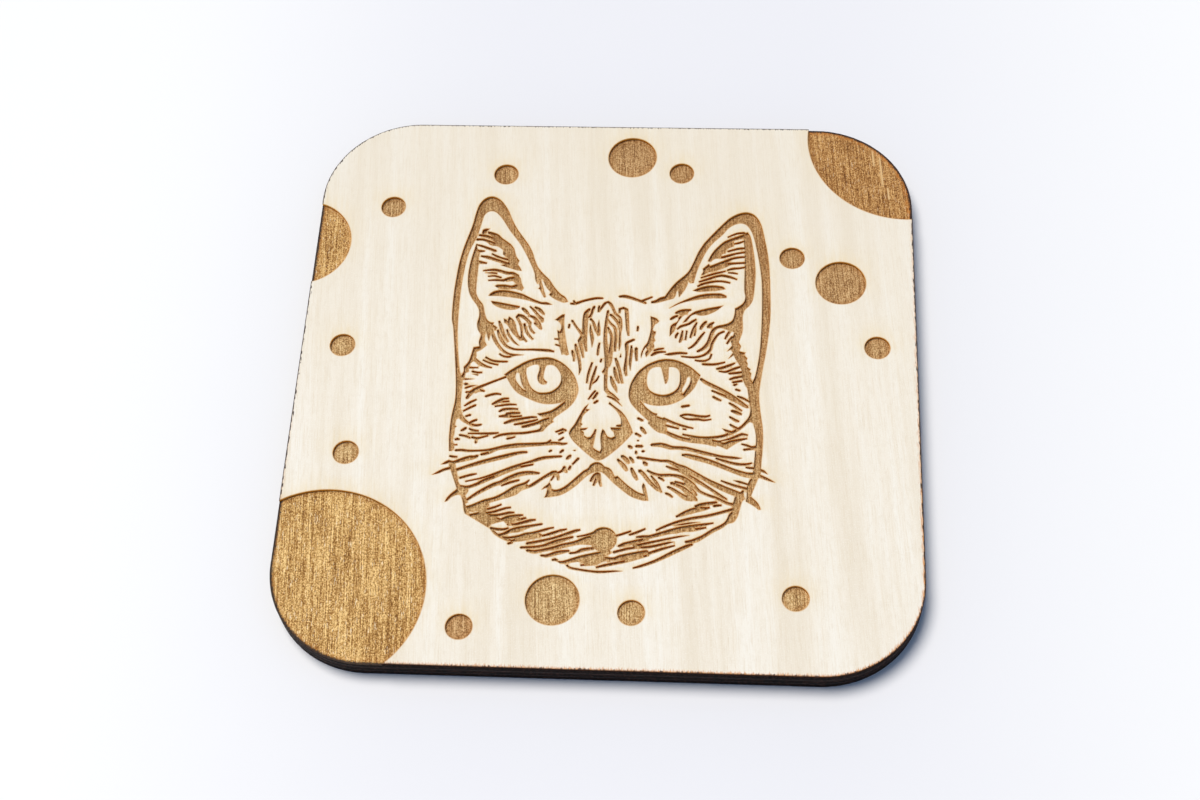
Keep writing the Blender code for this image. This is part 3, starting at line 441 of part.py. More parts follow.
JAW_PATCHES = (
    (-24, -15.8, -23.7, -16.7, -23.45, -17.3, -23.2, -18.1, -22.8, -19.1, -22.4, -20, -22.2, -20.6, -22.7,
     -21.1, -23.3, -21.7, -23.7, -22.3, -23.9, -22.9, -23.5, -22.7, -23.1, -22.2, -22.5, -21.8, -21.9,
     -21.6, -21.45, -21.7, -21.25, -22.2, -21, -23.1, -20.85, -24, -20.6, -24.8, -20, -25.15, -19.1,
     -25.7, -18.2, -26.2, -17.4, -26.75, -16.8, -27.1, -16.4, -26.5, -15.5, -26.1, -14.9, -25.85, -14.4,
     -25.9, -14.2, -26.2, -13.6, -26.4, -12.8, -26.1, -12.2, -25.8, -11.8, -25.5, -12.2, -25.2, -13,
     -25.1, -14, -25.3, -15, -25.5, -15.9, -25.2, -16.6, -24.9, -17.4, -24.7, -17.5, -24.2, -17.2, -23.7,
     -16.9, -23.35, -17.1, -22.95, -16.4, -22.65, -15.3, -22.25, -14.4, -21.95, -13.5, -21.65, -12.8,
     -21.3, -12.2, -20.7, -11.3, -20.3, -10.4, -19.9, -9.5, -19.2, -8.6, -18.5, -7.8, -18.05, -7, -17.6,
     -6.6, -17.4, -6.8, -17, -7.4, -17.05, -8.2, -17.55, -9, -18.15, -9.7, -18.65, -10.4, -19.2, -11,
     -19.7, -11.35, -19.5, -10.9, -18.9, -11, -18.65, -11.6, -19.1, -12.4, -19.45, -13.2, -19.8, -14,
     -20.4, -15, -21.1, -16, -21.7, -17, -22.05, -18, -22.4, -18.9, -22.85, -19.8, -23.3, -20.5, -23.55,
     -20.75, -23.2, -20.3, -22.9, -20.5, -22.4, -20.9, -21.7, -20.6, -21.4, -20.4, -20.9, -20.6, -20.4,
     -21.3, -20.2, -21.8, -19.9, -22.1, -19.4, -22.3, -18.5, -22.6, -17.4, -22.8, -16.5, -22.9, -15.9),
    (21.2, -20.4, 22.1, -20.3, 22.4, -19.8, 22.5, -20.4, 22.6, -21.2, 22.3, -21.5, 22.1, -22, 21.95,
     -22.6, 21.75, -23.3, 21.6, -24, 21.3, -24.7, 20.9, -25.2, 20.2, -25.4, 19.6, -25.8, 19.7, -25.3,
     20.2, -24.7, 20.55, -24.1, 20.7, -23.5, 20.8, -22.9, 20.7, -22.4, 20.9, -21.8, 21.1, -21.1),
    (-12.2, -28.5, -11.2, -28.2, -10, -28, -9, -27.8, -8.4, -28, -8.1, -28.4, -8.9, -28.7, -10, -28.9,
     -10.8, -29.1, -11.6, -29.3, -12.6, -29.4, -13.4, -29.3, -12.6, -28.9),
    (-5.9, -32.5, -5, -32.4, -4.2, -32.15, -3.2, -31.75, -2.2, -31.4, -1.2, -31.1, -0.3, -30.85, 0.5,
     -30.7, 1.2, -30.5, 2.2, -30.4, 2.4, -30.95, 1.9, -31.2, 1.5, -31.5, 2.3, -31.75, 2.3, -32.35, 1.4,
     -32.3, 0.6, -32.5, -0.2, -32.8, -1.2, -33, -2.1, -33.1, -1.6, -32.8, -2.4, -32.5, -3.4, -32.6, -4.2,
     -32.8, -5.2, -32.85),
)  # fmt: skip
# A window in the jaw's shading, plain wood.
JAW_ISLANDS = (
    (-20, -24.4, -19.4, -24.5, -18.7, -24.3, -18.5, -24.5, -19.2, -24.75, -19.9, -24.9),
)  # fmt: skip
JAW_LEFT = (
    (-18, -24.3, 0.35, -17, -23.95, 0.35, -16, -23.6, 0.3, -15, -23.1, 0.2),
    (-17.4, -24.65, 0.35, -16.4, -24.5, 0.35, -15.2, -24.1, 0.3, -14.3, -23.75, 0.3, -13.5, -23.6, 0.2),
    (-16.4, -25.1, 0.5, -15.6, -25, 0.4, -14.6, -24.75, 0.4, -13.6, -24.5, 0.35, -12.9, -24.45, 0.15),
    (-17.2, -26.7, 0.3, -16.6, -26.45, 0.4, -15.7, -26.1, 0.4, -14.9, -25.8, 0.45, -14, -25.3, 0.45, -13,
     -25.1, 0.35, -12, -24.9, 0.3, -11.5, -24.85, 0.15),
    (-12.1, -25.75, 0.3, -11.6, -25.5, 0.35, -11, -25.3, 0.2),
    (-13.8, -26.5, 0.3, -12.8, -26.5, 0.35, -11.8, -26.2, 0.4, -10.8, -25.9, 0.35, -10.2, -25.7, 0.35,
     -9.5, -25.6, 0.2),
    (-16.4, -27.2, 0.3, -15.3, -27.4, 0.4, -14.3, -27.35, 0.3, -13.6, -27.1, 0.2),
    (-15.3, -28.4, 0.25, -14.2, -28.1, 0.45, -13.3, -27.6, 0.6, -12.3, -27.35, 0.85, -11.3, -27.05, 0.6,
     -10.4, -26.75, 0.4, -9.4, -26.5, 0.35, -8.5, -26.3, 0.25),
    (-16.3, -27.45, 0.2, -15.6, -28.1, 0.25, -14.8, -28.6, 0.3, -14, -29, 0.3, -13, -29.25, 0.25),
    (-14.6, -28.7, 0.25, -13.5, -28.75, 0.3, -12.5, -28.6, 0.4, -11.7, -28.4, 0.4, -11, -28.1, 0.4, -10,
     -27.9, 0.35, -9, -27.6, 0.3, -8, -27.3, 0.3, -7.3, -27, 0.25, -6.6, -26.85, 0.15),
    (-13.5, -29.75, 0.3, -12.9, -29.55, 0.3),
    (-8.6, -28.45, 0.3, -7.4, -28, 0.35, -6.4, -27.7, 0.35, -5.4, -27.25, 0.3, -4.6, -27.05, 0.15),
    (-10.6, -29.65, 0.35, -9.8, -29.5, 0.4, -8.8, -29.2, 0.35, -7.8, -28.95, 0.35, -6.8, -28.7, 0.35, -6,
     -28.4, 0.4, -5, -28, 0.4, -4, -27.65, 0.45, -3.2, -27.3, 0.4, -2.5, -27.1, 0.2),
    (-11.5, -30.35, 0.3, -10.5, -30.3, 0.35, -9.3, -30.15, 0.35, -8.2, -30, 0.4, -7.2, -29.65, 0.55, -6.3,
     -29.3, 0.65, -5.4, -28.95, 0.55, -4.5, -28.65, 0.4, -3.6, -28.35, 0.25),
    (-10.5, -30.8, 0.35, -9.5, -31, 0.5, -8.4, -30.75, 0.45, -7.4, -30.5, 0.5, -6.4, -30.3, 0.6, -5.4,
     -29.95, 0.65, -4.3, -29.65, 0.65, -3.2, -29.35, 0.65, -2.4, -29.1, 0.9, -1.5, -28.9, 1.3, -0.6,
     -28.8, 1.6),
    (-3, -28.3, 0.15, -2, -28.1, 0.25, -1.3, -27.9, 0.3, -0.3, -27.5, 0.4, 0.2, -27.2, 0.3),
    (-8.3, -31.6, 0.25, -7.6, -31.65, 0.4, -6.8, -31.35, 0.45, -5.9, -31.05, 0.5, -5, -30.85, 0.45, -4.1,
     -30.7, 0.25),
    (-3.9, -31.1, 0.25, -3, -30.95, 0.3, -2.2, -30.55, 0.5, -1.4, -30.35, 0.45, -0.4, -30.2, 0.4),
    (-6.6, -32.3, 0.2, -6.1, -32.2, 0.35, -5.7, -32.35, 0.2),
    (-2.2, -33.05, 0.15, -1, -32.9, 0.3, 0.3, -32.6, 0.4, 1, -32.3, 0.3),
    (-4.3, -33.05, 0.2, -3.9, -33.45, 0.25, -3, -33.6, 0.25, -2, -33.8, 0.25, -0.6, -34, 0.25, 0.7,
     -34.08, 0.3, 2, -34, 0.25, 3.2, -33.88, 0.15, 4.2, -33.75, 0.1),
)  # fmt: skip
JAW_RIGHT = (
    (2.7, -28.1, 0.2, 3.4, -27.85, 0.35, 4.3, -27.5, 0.35, 5.3, -27.1, 0.2),
    (5.1, -27.75, 0.25, 6, -27.4, 0.35, 7.5, -26.65, 0.2),
    (9.1, -26.9, 0.2, 10, -26.45, 0.35, 11, -25.95, 0.35, 12, -25.5, 0.35, 13, -25.15, 0.4, 14.2, -24.8,
     0.4, 15.5, -24.5, 0.4, 17, -24.2, 0.4, 18.3, -23.8, 0.4, 19.5, -23.4, 0.35, 20.9, -22.95, 0.4),
    (12.1, -24.5, 0.2, 12.8, -24.15, 0.45, 13.8, -23.65, 0.65, 14.9, -23.25, 0.75, 16, -23, 0.65, 16.9,
     -22.9, 0.35, 17.3, -22.75, 0.2),
    (15, -22.6, 0.25, 15.8, -22.35, 0.45, 16.8, -22.15, 0.5, 17.7, -22, 0.45, 18.3, -21.85, 0.3),
    (17.9, -22.5, 0.35, 18.5, -22.4, 0.35, 19.1, -22.35, 0.2),
    (6.1, -28.1, 0.15, 7, -28, 0.35, 8, -28.05, 0.55, 9, -27.8, 0.6, 10, -27.45, 0.65, 11, -27.1, 0.65,
     12, -26.8, 0.7, 13, -26.45, 0.65, 14, -26.25, 0.65, 15, -26, 0.55, 16, -25.8, 0.4, 17.9, -25.4, 0.15),
    (11.4, -27.2, 0.3, 12.2, -27.05, 0.4, 13.2, -26.8, 0.4, 14.5, -26.7, 0.4, 15.5, -26.5, 0.35, 16.8,
     -26.2, 0.2),
    (11.6, -26.1, 0.1, 12.8, -25.8, 0.15, 14.3, -25.5, 0.15, 15.8, -25.2, 0.1),
    (3.5, -29.7, 0.3, 4.2, -29.4, 0.5, 5, -29.2, 0.55, 6, -28.95, 0.6, 7, -28.65, 0.6, 7.9, -28.35, 0.45),
    (5.8, -29.55, 0.35, 6.8, -29.4, 0.4, 7.8, -29.1, 0.3, 9, -28.8, 0.25, 10.3, -28.5, 0.25, 11.6, -28.15,
     0.25, 13, -27.8, 0.2, 14.2, -27.5, 0.1),
    (2.8, -30.75, 0.35, 4, -30.4, 0.4, 4.9, -30.1, 0.35, 6, -29.9, 0.3, 7.2, -29.8, 0.25, 8.2, -29.7,
     0.35, 9, -29.5, 0.35, 10.2, -29.2, 0.3, 11.2, -28.9, 0.2, 12, -28.65, 0.1),
    (7.9, -30.85, 0.3, 8.8, -30.5, 0.4, 9.8, -30.1, 0.35, 10.8, -29.8, 0.3, 12.1, -29.35, 0.15),
    (-0.4, -31.95, 0.25, 0.9, -31.8, 0.45, 1.9, -31.8, 0.5, 2.8, -31.85, 0.45, 3.7, -31.65, 0.8, 4.8,
     -31.4, 0.9, 5.9, -31.15, 0.8, 6.9, -30.9, 0.75, 7.9, -30.45, 0.4),
    (0.2, -33.35, 0.2, 1.2, -33.05, 0.35, 2.3, -32.8, 0.4, 3.4, -32.5, 0.4, 4.6, -32.2, 0.35, 5.8, -31.8,
     0.35, 7, -31.45, 0.3, 8.1, -31.05, 0.3),
    (5.8, -33.3, 0.15, 6.8, -33, 0.3, 7.8, -32.6, 0.35, 9, -32.1, 0.4, 10, -31.55, 0.45, 11, -31.05, 0.5,
     12, -30.45, 0.55, 13, -29.95, 0.5, 14, -29.4, 0.5, 14.7, -29.1, 0.3),
    (13.7, -28.7, 0.3, 14.5, -28.6, 0.5, 15.3, -28.3, 0.7, 16.1, -27.9, 0.55, 17, -27.3, 0.5, 18, -26.55,
     0.5, 19, -26, 0.5, 19.8, -25.4, 0.5, 20.3, -24.7, 0.6, 20.5, -24, 0.5, 20.65, -23.6, 0.3),
)  # fmt: skip
MUZZLE = (
    (-1.4, -18.8, 0.2, -1.1, -18.1, 0.35, -0.7, -17.55, 0.4, -0.35, -17.3, 0.35, 0, -17.55, 0.3),
    (-0.9, -19.5, 0.2, -0.6, -18.7, 0.4, -0.4, -18, 0.4, -0.3, -17.4, 0.35),
    (0.3, -19.6, 0.15, 0.1, -18.8, 0.4, 0, -18, 0.4, -0.1, -17.5, 0.3),
    (6.2, -16.7, 0.5, 6.7, -17.15, 0.5, 7.3, -17.9, 0.5, 7.9, -18.7, 0.5, 8.5, -19.3, 0.5, 9.2, -20, 0.35),
    (8.5, -18.2, 0.15, 9, -18.9, 0.35, 9.3, -19.5, 0.35, 9.75, -20.4, 0.15),
    (9.2, -17.8, 0.25, 9.7, -18.1, 0.35, 10.1, -18.4, 0.15),
    (8, -17.5, 0.15, 8.6, -18.2, 0.25),
    (4.9, -16.3, 0.3, 5.2, -17, 0.5, 5.6, -17.8, 0.5, 5.9, -18.35, 0.2),
    (2.7, -14.8, 0.25, 3.2, -15.3, 0.4, 3.7, -15.9, 0.5, 4.05, -16.5, 0.45, 4.2, -16.8, 0.2),
    (3.35, -14.2, 0.45, 3.8, -14.6, 0.6, 4.25, -15.1, 0.5, 4.5, -15.5, 0.2),
    (4.6, -14.4, 0.3, 5, -14.9, 0.35, 5.2, -15.4, 0.15),
    (6.8, -15.2, 0.35, 7.2, -15.6, 0.55),
    (4.35, -12.4, 0.4, 4.75, -12.7, 0.45),
    (5.5, -12.4, 0.4, 6.4, -12.4, 0.45),
    (5.5, -13.3, 0.25, 5.55, -13.7, 0.3),
    (6.5, -13.3, 0.3, 6.75, -13.25, 0.3),
    (5.6, -11.4, 0.15, 5.9, -11.4, 0.15),
    (5.35, -10.15, 0.35, 6.1, -10.6, 0.3),
    (6.1, -9, 0.25, 6.45, -9.5, 0.5, 6.95, -10.15, 0.2),
    (5.6, -7.4, 0.35, 6.3, -7.8, 0.35),
    (11.8, -18.5, 0.3, 13, -18.8, 0.35, 13.8, -19.1, 0.4, 14.3, -19.7, 0.45, 14.9, -20.4, 0.4, 15.2,
     -20.8, 0.2),
    (11.2, -18.7, 0.4, 12, -19.1, 0.5, 13, -19.55, 0.55, 13.6, -20.1, 0.75, 14.3, -20.75, 0.8, 14.9,
     -21.3, 0.5, 15.2, -21.6, 0.3),
    (10.7, -19.4, 0.3, 11.4, -19.8, 0.45, 12.2, -20.3, 0.45, 13, -20.9, 0.6, 13.8, -21.3, 0.7, 14.6,
     -21.5, 0.45),
    (10.4, -20.5, 0.25, 11, -20.8, 0.35, 11.5, -21.2, 0.15),
    (13.4, -18.5, 0.4, 14.1, -19.1, 0.45, 14.8, -19.4, 0.3),
    (-7.4, -10.2, 0.2, -6.8, -9.9, 0.3, -6.3, -9.7, 0.4, -5.8, -9.9, 0.4),
    (-6.9, -10.6, 0.2, -6.2, -10.2, 0.3),
    (-6.85, -11.7, 0.15, -6.5, -11.5, 0.3, -6, -11.1, 0.2),
    (-8.15, -13.7, 0.25, -7.85, -13.5, 0.3),
    (-6.4, -13.8, 0.3, -6, -13.4, 0.35),
    (-4.3, -13.4, 0.15, -4.1, -13.4, 0.15),
    (-5.3, -14.9, 0.3, -5, -14.6, 0.5, -4.7, -14.2, 0.2),
    (-4.4, -15.9, 0.2, -4, -15.4, 0.3, -3.5, -14.8, 0.35),
    (-4.9, -16.9, 0.2, -4.8, -16.6, 0.35, -4.65, -16.1, 0.2),
    (-6.6, -17.4, 0.3, -6, -17.1, 0.35, -5.7, -16.7, 0.4, -5.6, -16.35, 0.4),
    (-5.7, -16.6, 0.3, -5.25, -17.25, 0.3),
    (-6.8, -17.3, 0.35, -7.1, -18, 0.3, -7.6, -18.8, 0.15),
    (-6.7, -17.4, 0.3, -6.5, -18.2, 0.35, -6.45, -18.7, 0.15),
)  # fmt: skip
EYE_STROKES = (
    (-15.6, -8.8, 0.3, -14.7, -8.4, 0.45, -13.8, -8.2, 0.35, -12.9, -7.95, 0.35, -12, -7.75, 0.35, -11.2,
     -7.6, 0.3, -10.5, -7.6, 0.15),
    (-14, -9, 0.25, -13, -8.8, 0.35, -12, -8.5, 0.35, -11, -8.25, 0.3, -10.3, -8, 0.15),
    (-12.7, -9.4, 0.35, -11.9, -9.2, 0.45, -11, -8.9, 0.45, -10.2, -8.6, 0.5, -9.7, -8.3, 0.4),
)  # fmt: skip

PATCHES = (LEFT_EAR, RIGHT_EAR, LEFT_EAR_LINING, RIGHT_EAR_LINING, NOSE, MOUTH) + (
    EAR_PATCHES + EYE_PATCHES + BROW_PATCHES + JAW_PATCHES
)
ISLANDS = EYE_ISLANDS + JAW_ISLANDS
STROKES = EAR_STROKES + FOREHEAD + TEMPLES + CHEEKS + MUZZLE + EYE_STROKES + JAW_LEFT + JAW_RIGHT

MERGE = 1e-4  # points this close, in millimetres, are one point of the drawing
SHORTEST_SIDE = 0.22
STRAIGHT_ENOUGH = 0.052


def clear_scene():
    for old in list(bpy.data.objects):
        bpy.data.objects.remove(old)


def new_collection(name):
    made = bpy.data.collections.new(name)
    bpy.context.scene.collection.children.link(made)
    return made


def new_material(name, color, roughness):
    made = bpy.data.materials.new(name)
    made.use_nodes = True
    shader = made.node_tree.nodes["Principled BSDF"]
    shader.inputs["Base Color"].default_value = (*color, 1.0)
    shader.inputs["Roughness"].default_value = roughness
    shader.inputs["Metallic"].default_value = 0.0
    return made


def grouped(numbers, size):
    """A flat run of numbers as tuples of the given size."""
    return [numbers[start : start + size] for start in range(0, len(numbers), size)]


def rounded_square():
    """The coaster's outline, anticlockwise: four arcs joined by straights."""
    inset = SIDE / 2 - CORNER_RADIUS
    points = []
    for corner, (side_x, side_y) in enumerate(((1, 1), (-1, 1), (-1, -1), (1, -1))):
        for step in range(CORNER_STEPS + 1):
            angle = math.pi / 2 * (corner + step / CORNER_STEPS)
            x = side_x * inset + CORNER_RADIUS * math.cos(angle)
            y = side_y * inset + CORNER_RADIUS * math.sin(angle)
            points.append((x, y))
    return points


def dot_outline(size, x, y):
    radius = size * DOT_RADIUS
    steps = 4 * round(2.2 * math.sqrt(radius) + 2)
    return [
        (x + radius * math.cos(math.tau * step / steps), y + radius * math.sin(math.tau * step / steps))
        for step in range(steps)
    ]


def stroke_pieces(numbers):
    """A stroke as quads between its points, and a small tip past each end."""
    middle = [Vector(point[:2]) for point in grouped(numbers, 3)]
    widths = [point[2] + BEAM for point in grouped(numbers, 3)]
    rails = []
    for i, point in enumerate(middle):
        along = (middle[min(i + 1, len(middle) - 1)] - middle[max(i - 1, 0)]).normalized()
        across = Vector((-along.y, along.x)) * widths[i] / 2
        rails.append((point + across, point - across, along * widths[i] * 0.45))
    pieces = [[a[0], a[1], b[1], b[0]] for a, b in zip(rails, rails[1:])]
    first, last = rails[0], rails[-1]
    pieces.append([first[0], middle[0] - first[2], first[1]])
    pieces.append([last[1], middle[-1] + last[2], last[0]])
    return pieces


def united(solid_faces, island_faces):
    """The boundary loops of all the solid faces together, less the islands."""
    verts = []
    faces = []
    for face in solid_faces + island_faces:
        faces.append(list(range(len(verts), len(verts) + len(face))))
        verts.extend(Vector(point) for point in (face if area(face) > 0 else reversed(face)))
    first_island = len(solid_faces)
    points, _, cells, _, _, sources = delaunay_2d_cdt(verts, [], faces, 1, MERGE)
    following = {}
    directed = set()
    for cell, source in zip(cells, sources):
        if source and max(source) < first_island:
            directed.update(zip(cell, cell[1:] + cell[:1]))
    for a, b in directed:
        if (b, a) not in directed:
            following.setdefault(a, []).append(b)
    loops = []
    while following:
        start = min(following)
        loop = [start]
        while True:
            choices = following[loop[-1]]
            if len(choices) > 1 and len(loop) > 1:
                came = points[loop[-1]] - points[loop[-2]]
                choices.sort(key=lambda end: -came.angle_signed(points[end] - points[loop[-1]]))
            step = choices.pop(0)
            if not choices:
                del following[loop[-1]]
            if step == start:
                break
            loop.append(step)
        loops.append([points[i] for i in loop])
    return loops


def tidied(loop):
    """The loop without its shortest sides and without points on a straight."""
    changed = True
    while changed and len(loop) > 4:
        changed = False
        for i in range(len(loop)):
            before, here, after = loop[i - 1], loop[i], loop[(i + 1) % len(loop)]
            span = after - before
            off = abs(span.cross(here - before)) / max(span.length, 1e-9)
            if (here - before).length < SHORTEST_SIDE or off < STRAIGHT_ENOUGH:
                loop = loop[:i] + loop[i + 1 :]
                changed = True
                break
    return loop


def engraved_loops():
    """Every edge of the engraving, as closed loops: islands run the other way round."""
    solid = [dot_outline(*dot) for dot in DOTS]
    solid += [grouped(patch, 2) for patch in PATCHES]
    for stroke in STROKES:
        solid += stroke_pieces(stroke)
    islands = [grouped(island, 2) for island in ISLANDS]
    loops = united(solid, islands)
    return [tidied(loop) for loop in loops if abs(area(loop)) > 0.01]


def area(loop):
    return sum(a[0] * b[1] - a[1] * b[0] for a, b in zip(loop, loop[1:] + loop[:1])) / 2


def flat_outline(name, outlines, bottom, top, collection):
    """A 2D curve of closed outlines, filled and extruded between two heights."""
    curve = bpy.data.curves.new(name, "CURVE")
    curve.dimensions = "2D"
    curve.fill_mode = "BOTH"
    curve.extrude = (top - bottom) / 2 * MM
    for outline in outlines:
        spline = curve.splines.new("POLY")
        spline.points.add(len(outline) - 1)
        for point, (x, y) in zip(spline.points, outline):
            point.co = (x * MM, y * MM, 0.0, 1.0)
        spline.use_cyclic_u = True
    made = bpy.data.objects.new(name, curve)
    made.location = (0.0, 0.0, (top + bottom) / 2 * MM)
    collection.objects.link(made)
    return made


def as_mesh(curve_object):
    """The same shape as a mesh with its caps welded on, so that a Boolean can read it."""
    bpy.context.view_layer.update()
    graph = bpy.context.evaluated_depsgraph_get()
    mesh = bpy.data.meshes.new_from_object(curve_object.evaluated_get(graph))
    shape = bmesh.new()
    shape.from_mesh(mesh)
    bmesh.ops.remove_doubles(shape, verts=shape.verts, dist=1e-7)
    bmesh.ops.recalc_face_normals(shape, faces=shape.faces)
    shape.to_mesh(mesh)
    shape.free()
    made = bpy.data.objects.new(curve_object.name, mesh)
    made.matrix_world = curve_object.matrix_world
    curve_object.users_collection[0].objects.link(made)
    name = curve_object.name
    bpy.data.objects.remove(curve_object)
    made.name = name
    return made


def engrave(target, cutter):
    cutter.hide_render = True
    cutter.display_type = "WIRE"
    boolean = target.modifiers.new("engraving", "BOOLEAN")
    boolean.operation = "DIFFERENCE"
    boolean.solver = "EXACT"
    boolean.object = cutter


def main():
    clear_scene()
    parts = new_collection("engraved_coaster")
    cutters = new_collection("cutters")
    birch = new_material("birch_veneer", (0.86, 0.78, 0.64), 0.6)
    core = new_material("birch_core", (0.62, 0.45, 0.28), 0.7)
    glue = new_material("glue_film", (0.12, 0.06, 0.03), 0.5)
    face_bottom = THICKNESS - FACE_PLY
    layers = (
        ("back_veneer", 0.0, BACK_PLY, birch),
        ("lower_glue_line", BACK_PLY + BOND_GAP, BACK_PLY + BOND_GAP + GLUE, glue),
        ("core_veneer", BACK_PLY + 2 * BOND_GAP + GLUE, face_bottom - 2 * BOND_GAP - GLUE, core),
        ("upper_glue_line", face_bottom - BOND_GAP - GLUE, face_bottom - BOND_GAP, glue),
    )
    for name, bottom, top, material in layers:
        made = flat_outline(name, [rounded_square()], bottom, top, parts)
        made.data.materials.append(material)
    face = as_mesh(flat_outline("face_veneer", [rounded_square()], face_bottom, THICKNESS, parts))
    face.data.materials.append(birch)
    floor = THICKNESS - ENGRAVING_DEPTH
    rise = THICKNESS + CUTTER_RISE
    engrave(face, as_mesh(flat_outline("engraving_cutter", engraved_loops(), floor, rise, cutters)))


main()
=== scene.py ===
"""The looks of a laser-engraved plywood coaster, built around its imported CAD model.

Lengths below are in millimetres and are turned into metres where a mesh, a camera or a lamp is made.
The frame stands with its underside at z = 0; +X is the right of the drawing and +Y is its top.
The face veneer is rebuilt with rounder rims and an uneven floor, along the CAD model's own rims.
"""

import json
import math

import bpy
import numpy as np
from mathutils import Matrix, Vector, geometry, noise
from mathutils.bvhtree import BVHTree
from mathutils.kdtree import KDTree

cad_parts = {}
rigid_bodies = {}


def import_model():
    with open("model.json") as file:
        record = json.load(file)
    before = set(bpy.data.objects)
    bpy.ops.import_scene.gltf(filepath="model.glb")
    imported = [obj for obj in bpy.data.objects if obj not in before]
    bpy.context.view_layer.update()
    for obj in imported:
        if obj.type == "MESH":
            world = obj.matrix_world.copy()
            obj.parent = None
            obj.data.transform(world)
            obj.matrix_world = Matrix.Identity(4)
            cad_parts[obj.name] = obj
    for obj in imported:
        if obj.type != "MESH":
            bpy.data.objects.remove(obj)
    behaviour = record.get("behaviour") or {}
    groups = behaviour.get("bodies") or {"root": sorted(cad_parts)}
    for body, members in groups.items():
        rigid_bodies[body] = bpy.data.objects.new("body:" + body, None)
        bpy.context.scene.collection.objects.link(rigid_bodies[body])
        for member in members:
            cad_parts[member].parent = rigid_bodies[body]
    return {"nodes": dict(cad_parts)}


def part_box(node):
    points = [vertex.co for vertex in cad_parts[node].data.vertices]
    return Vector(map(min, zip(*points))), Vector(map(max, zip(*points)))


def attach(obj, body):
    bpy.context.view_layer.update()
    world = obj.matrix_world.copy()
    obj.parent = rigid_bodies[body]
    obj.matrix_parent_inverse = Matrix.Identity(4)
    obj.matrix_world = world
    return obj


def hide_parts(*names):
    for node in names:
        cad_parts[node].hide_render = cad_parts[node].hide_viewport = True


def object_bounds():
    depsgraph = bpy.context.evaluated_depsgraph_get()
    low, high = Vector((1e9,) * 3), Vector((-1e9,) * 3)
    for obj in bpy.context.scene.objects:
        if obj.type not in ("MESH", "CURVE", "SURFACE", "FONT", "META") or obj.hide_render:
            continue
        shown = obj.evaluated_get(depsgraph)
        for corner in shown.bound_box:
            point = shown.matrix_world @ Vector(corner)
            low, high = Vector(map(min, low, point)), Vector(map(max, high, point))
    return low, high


for startup_object in list(bpy.data.objects):
    bpy.data.objects.remove(startup_object)

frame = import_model()
cad_low, cad_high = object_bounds()

MM = 0.001

# The plate, as the frame gives it, and the radius of its corners.
SIDE = (cad_high.x - cad_low.x) / MM
HALF = SIDE / 2
TOP = cad_high.z / MM
CORNER_RADIUS = 16.0
FACE_NODE, CORE_NODE, BACK_NODE = "face_veneer", "core_veneer", "back_veneer"
GLUE_NODES = ("lower_glue_line", "upper_glue_line")
FACE_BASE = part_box(FACE_NODE)[0].z / MM
ENGRAVED = 0.5
FLOOR = TOP - ENGRAVED

# How finely the rims of the engraving and the plate's outline are drawn.
RIM_STEP = 0.2
EDGE_STEP = 0.45
SHARP_TURN = math.radians(40)
EASE = 1.5  # how many times the side next to it a curve's handle may be

# The points between the rims: the steps of each grid across and along, and how far they keep from
# a rim or from the edge.
COARSE_GRID = (0.9, 0.9)
RIM_GRID = (0.22, 0.22)
FLOOR_GRID = (0.22, 0.5)
RIM_CLEARANCE = 0.12
RIM_ZONE = 0.55
COARSE_CLEARANCE = 0.8
EDGE_CLEARANCE = 0.2
SCATTER = 0.2  # how far a point strays from its grid, as a share of the grid's step
SEED = 11
LEVEL_SLACK = 0.01
VOTERS = 9  # how many triangles of a patch say whether it is bare
INSIDE_ONLY, MERGE = 1, 1e-5  # what the triangulation keeps, and how close two points are one

# The cut edge: its broken arris, the depth and lean of the laser's striations, and for each wave of
# them its length, its row of noise and its weight.
ARRIS = 0.07
KERF = 0.035
KERF_LEAN = 0.05
STRIATIONS = ((1.7, 3.1, 0.35), (0.5, 9.7, 0.5))
CREASE = math.radians(30)

# The floor left by the laser: fine furrows over a slow swell, each with its length along the grain,
# its width across it, its depth and its row of noise.
FURROW = (2.6, 0.16, 0.035, 3.5)
SWELL = (6.0, 2.2, 0.02, 2.0)

# How far the smoke of the laser reaches over the bare face.
SMOKE_REACH = 1.5

# The distance between the laser's passes, which run across the grain.
RASTER = 0.24

# Pale fibres that the laser passed over: where each runs across the leaning grain,
# and its low and its high end along it.
PALE_FIBRES = ((47.13, 42.4, 46.6), (48.25, 38.1, 46.0), (49.0, 35.6, 38.4))

# The middle of the one dot that the laser burnt darker than the rest.
DARK_DOT = (-19.95, -43.61)

# The face grain leans a little to the left of the drawing's up.
GRAIN_LEAN = math.radians(4.4)

# The table reaches this far from the middle, and lies this far under the plate.
TABLE = 2500.0
TABLE_DROP = 0.05

# The light: a dim blue sky with a pale band round the horizon, and a broad window, given by its strength,
# how widely its light spreads, the way towards it and its colour.
ZENITH = (0.105, 0.17, 0.29)
HORIZON = (0.74, 0.82, 0.93)
HORIZON_TOP, HORIZON_FADED = math.sin(math.radians(11)), math.sin(math.radians(24))
WINDOW = (3.07, math.radians(33), (-0.43, 0.33, 1.3), (1.0, 0.963, 0.898))

# The camera: degrees, and millimetres.
CAMERA_AZIMUTH, CAMERA_ELEVATION, CAMERA_ROLL = 7.47, 60.86, -5.32
CAMERA_TARGET = (-0.61, -4.24, TOP)
CAMERA_DISTANCE = 300.0
LENS = 56.38


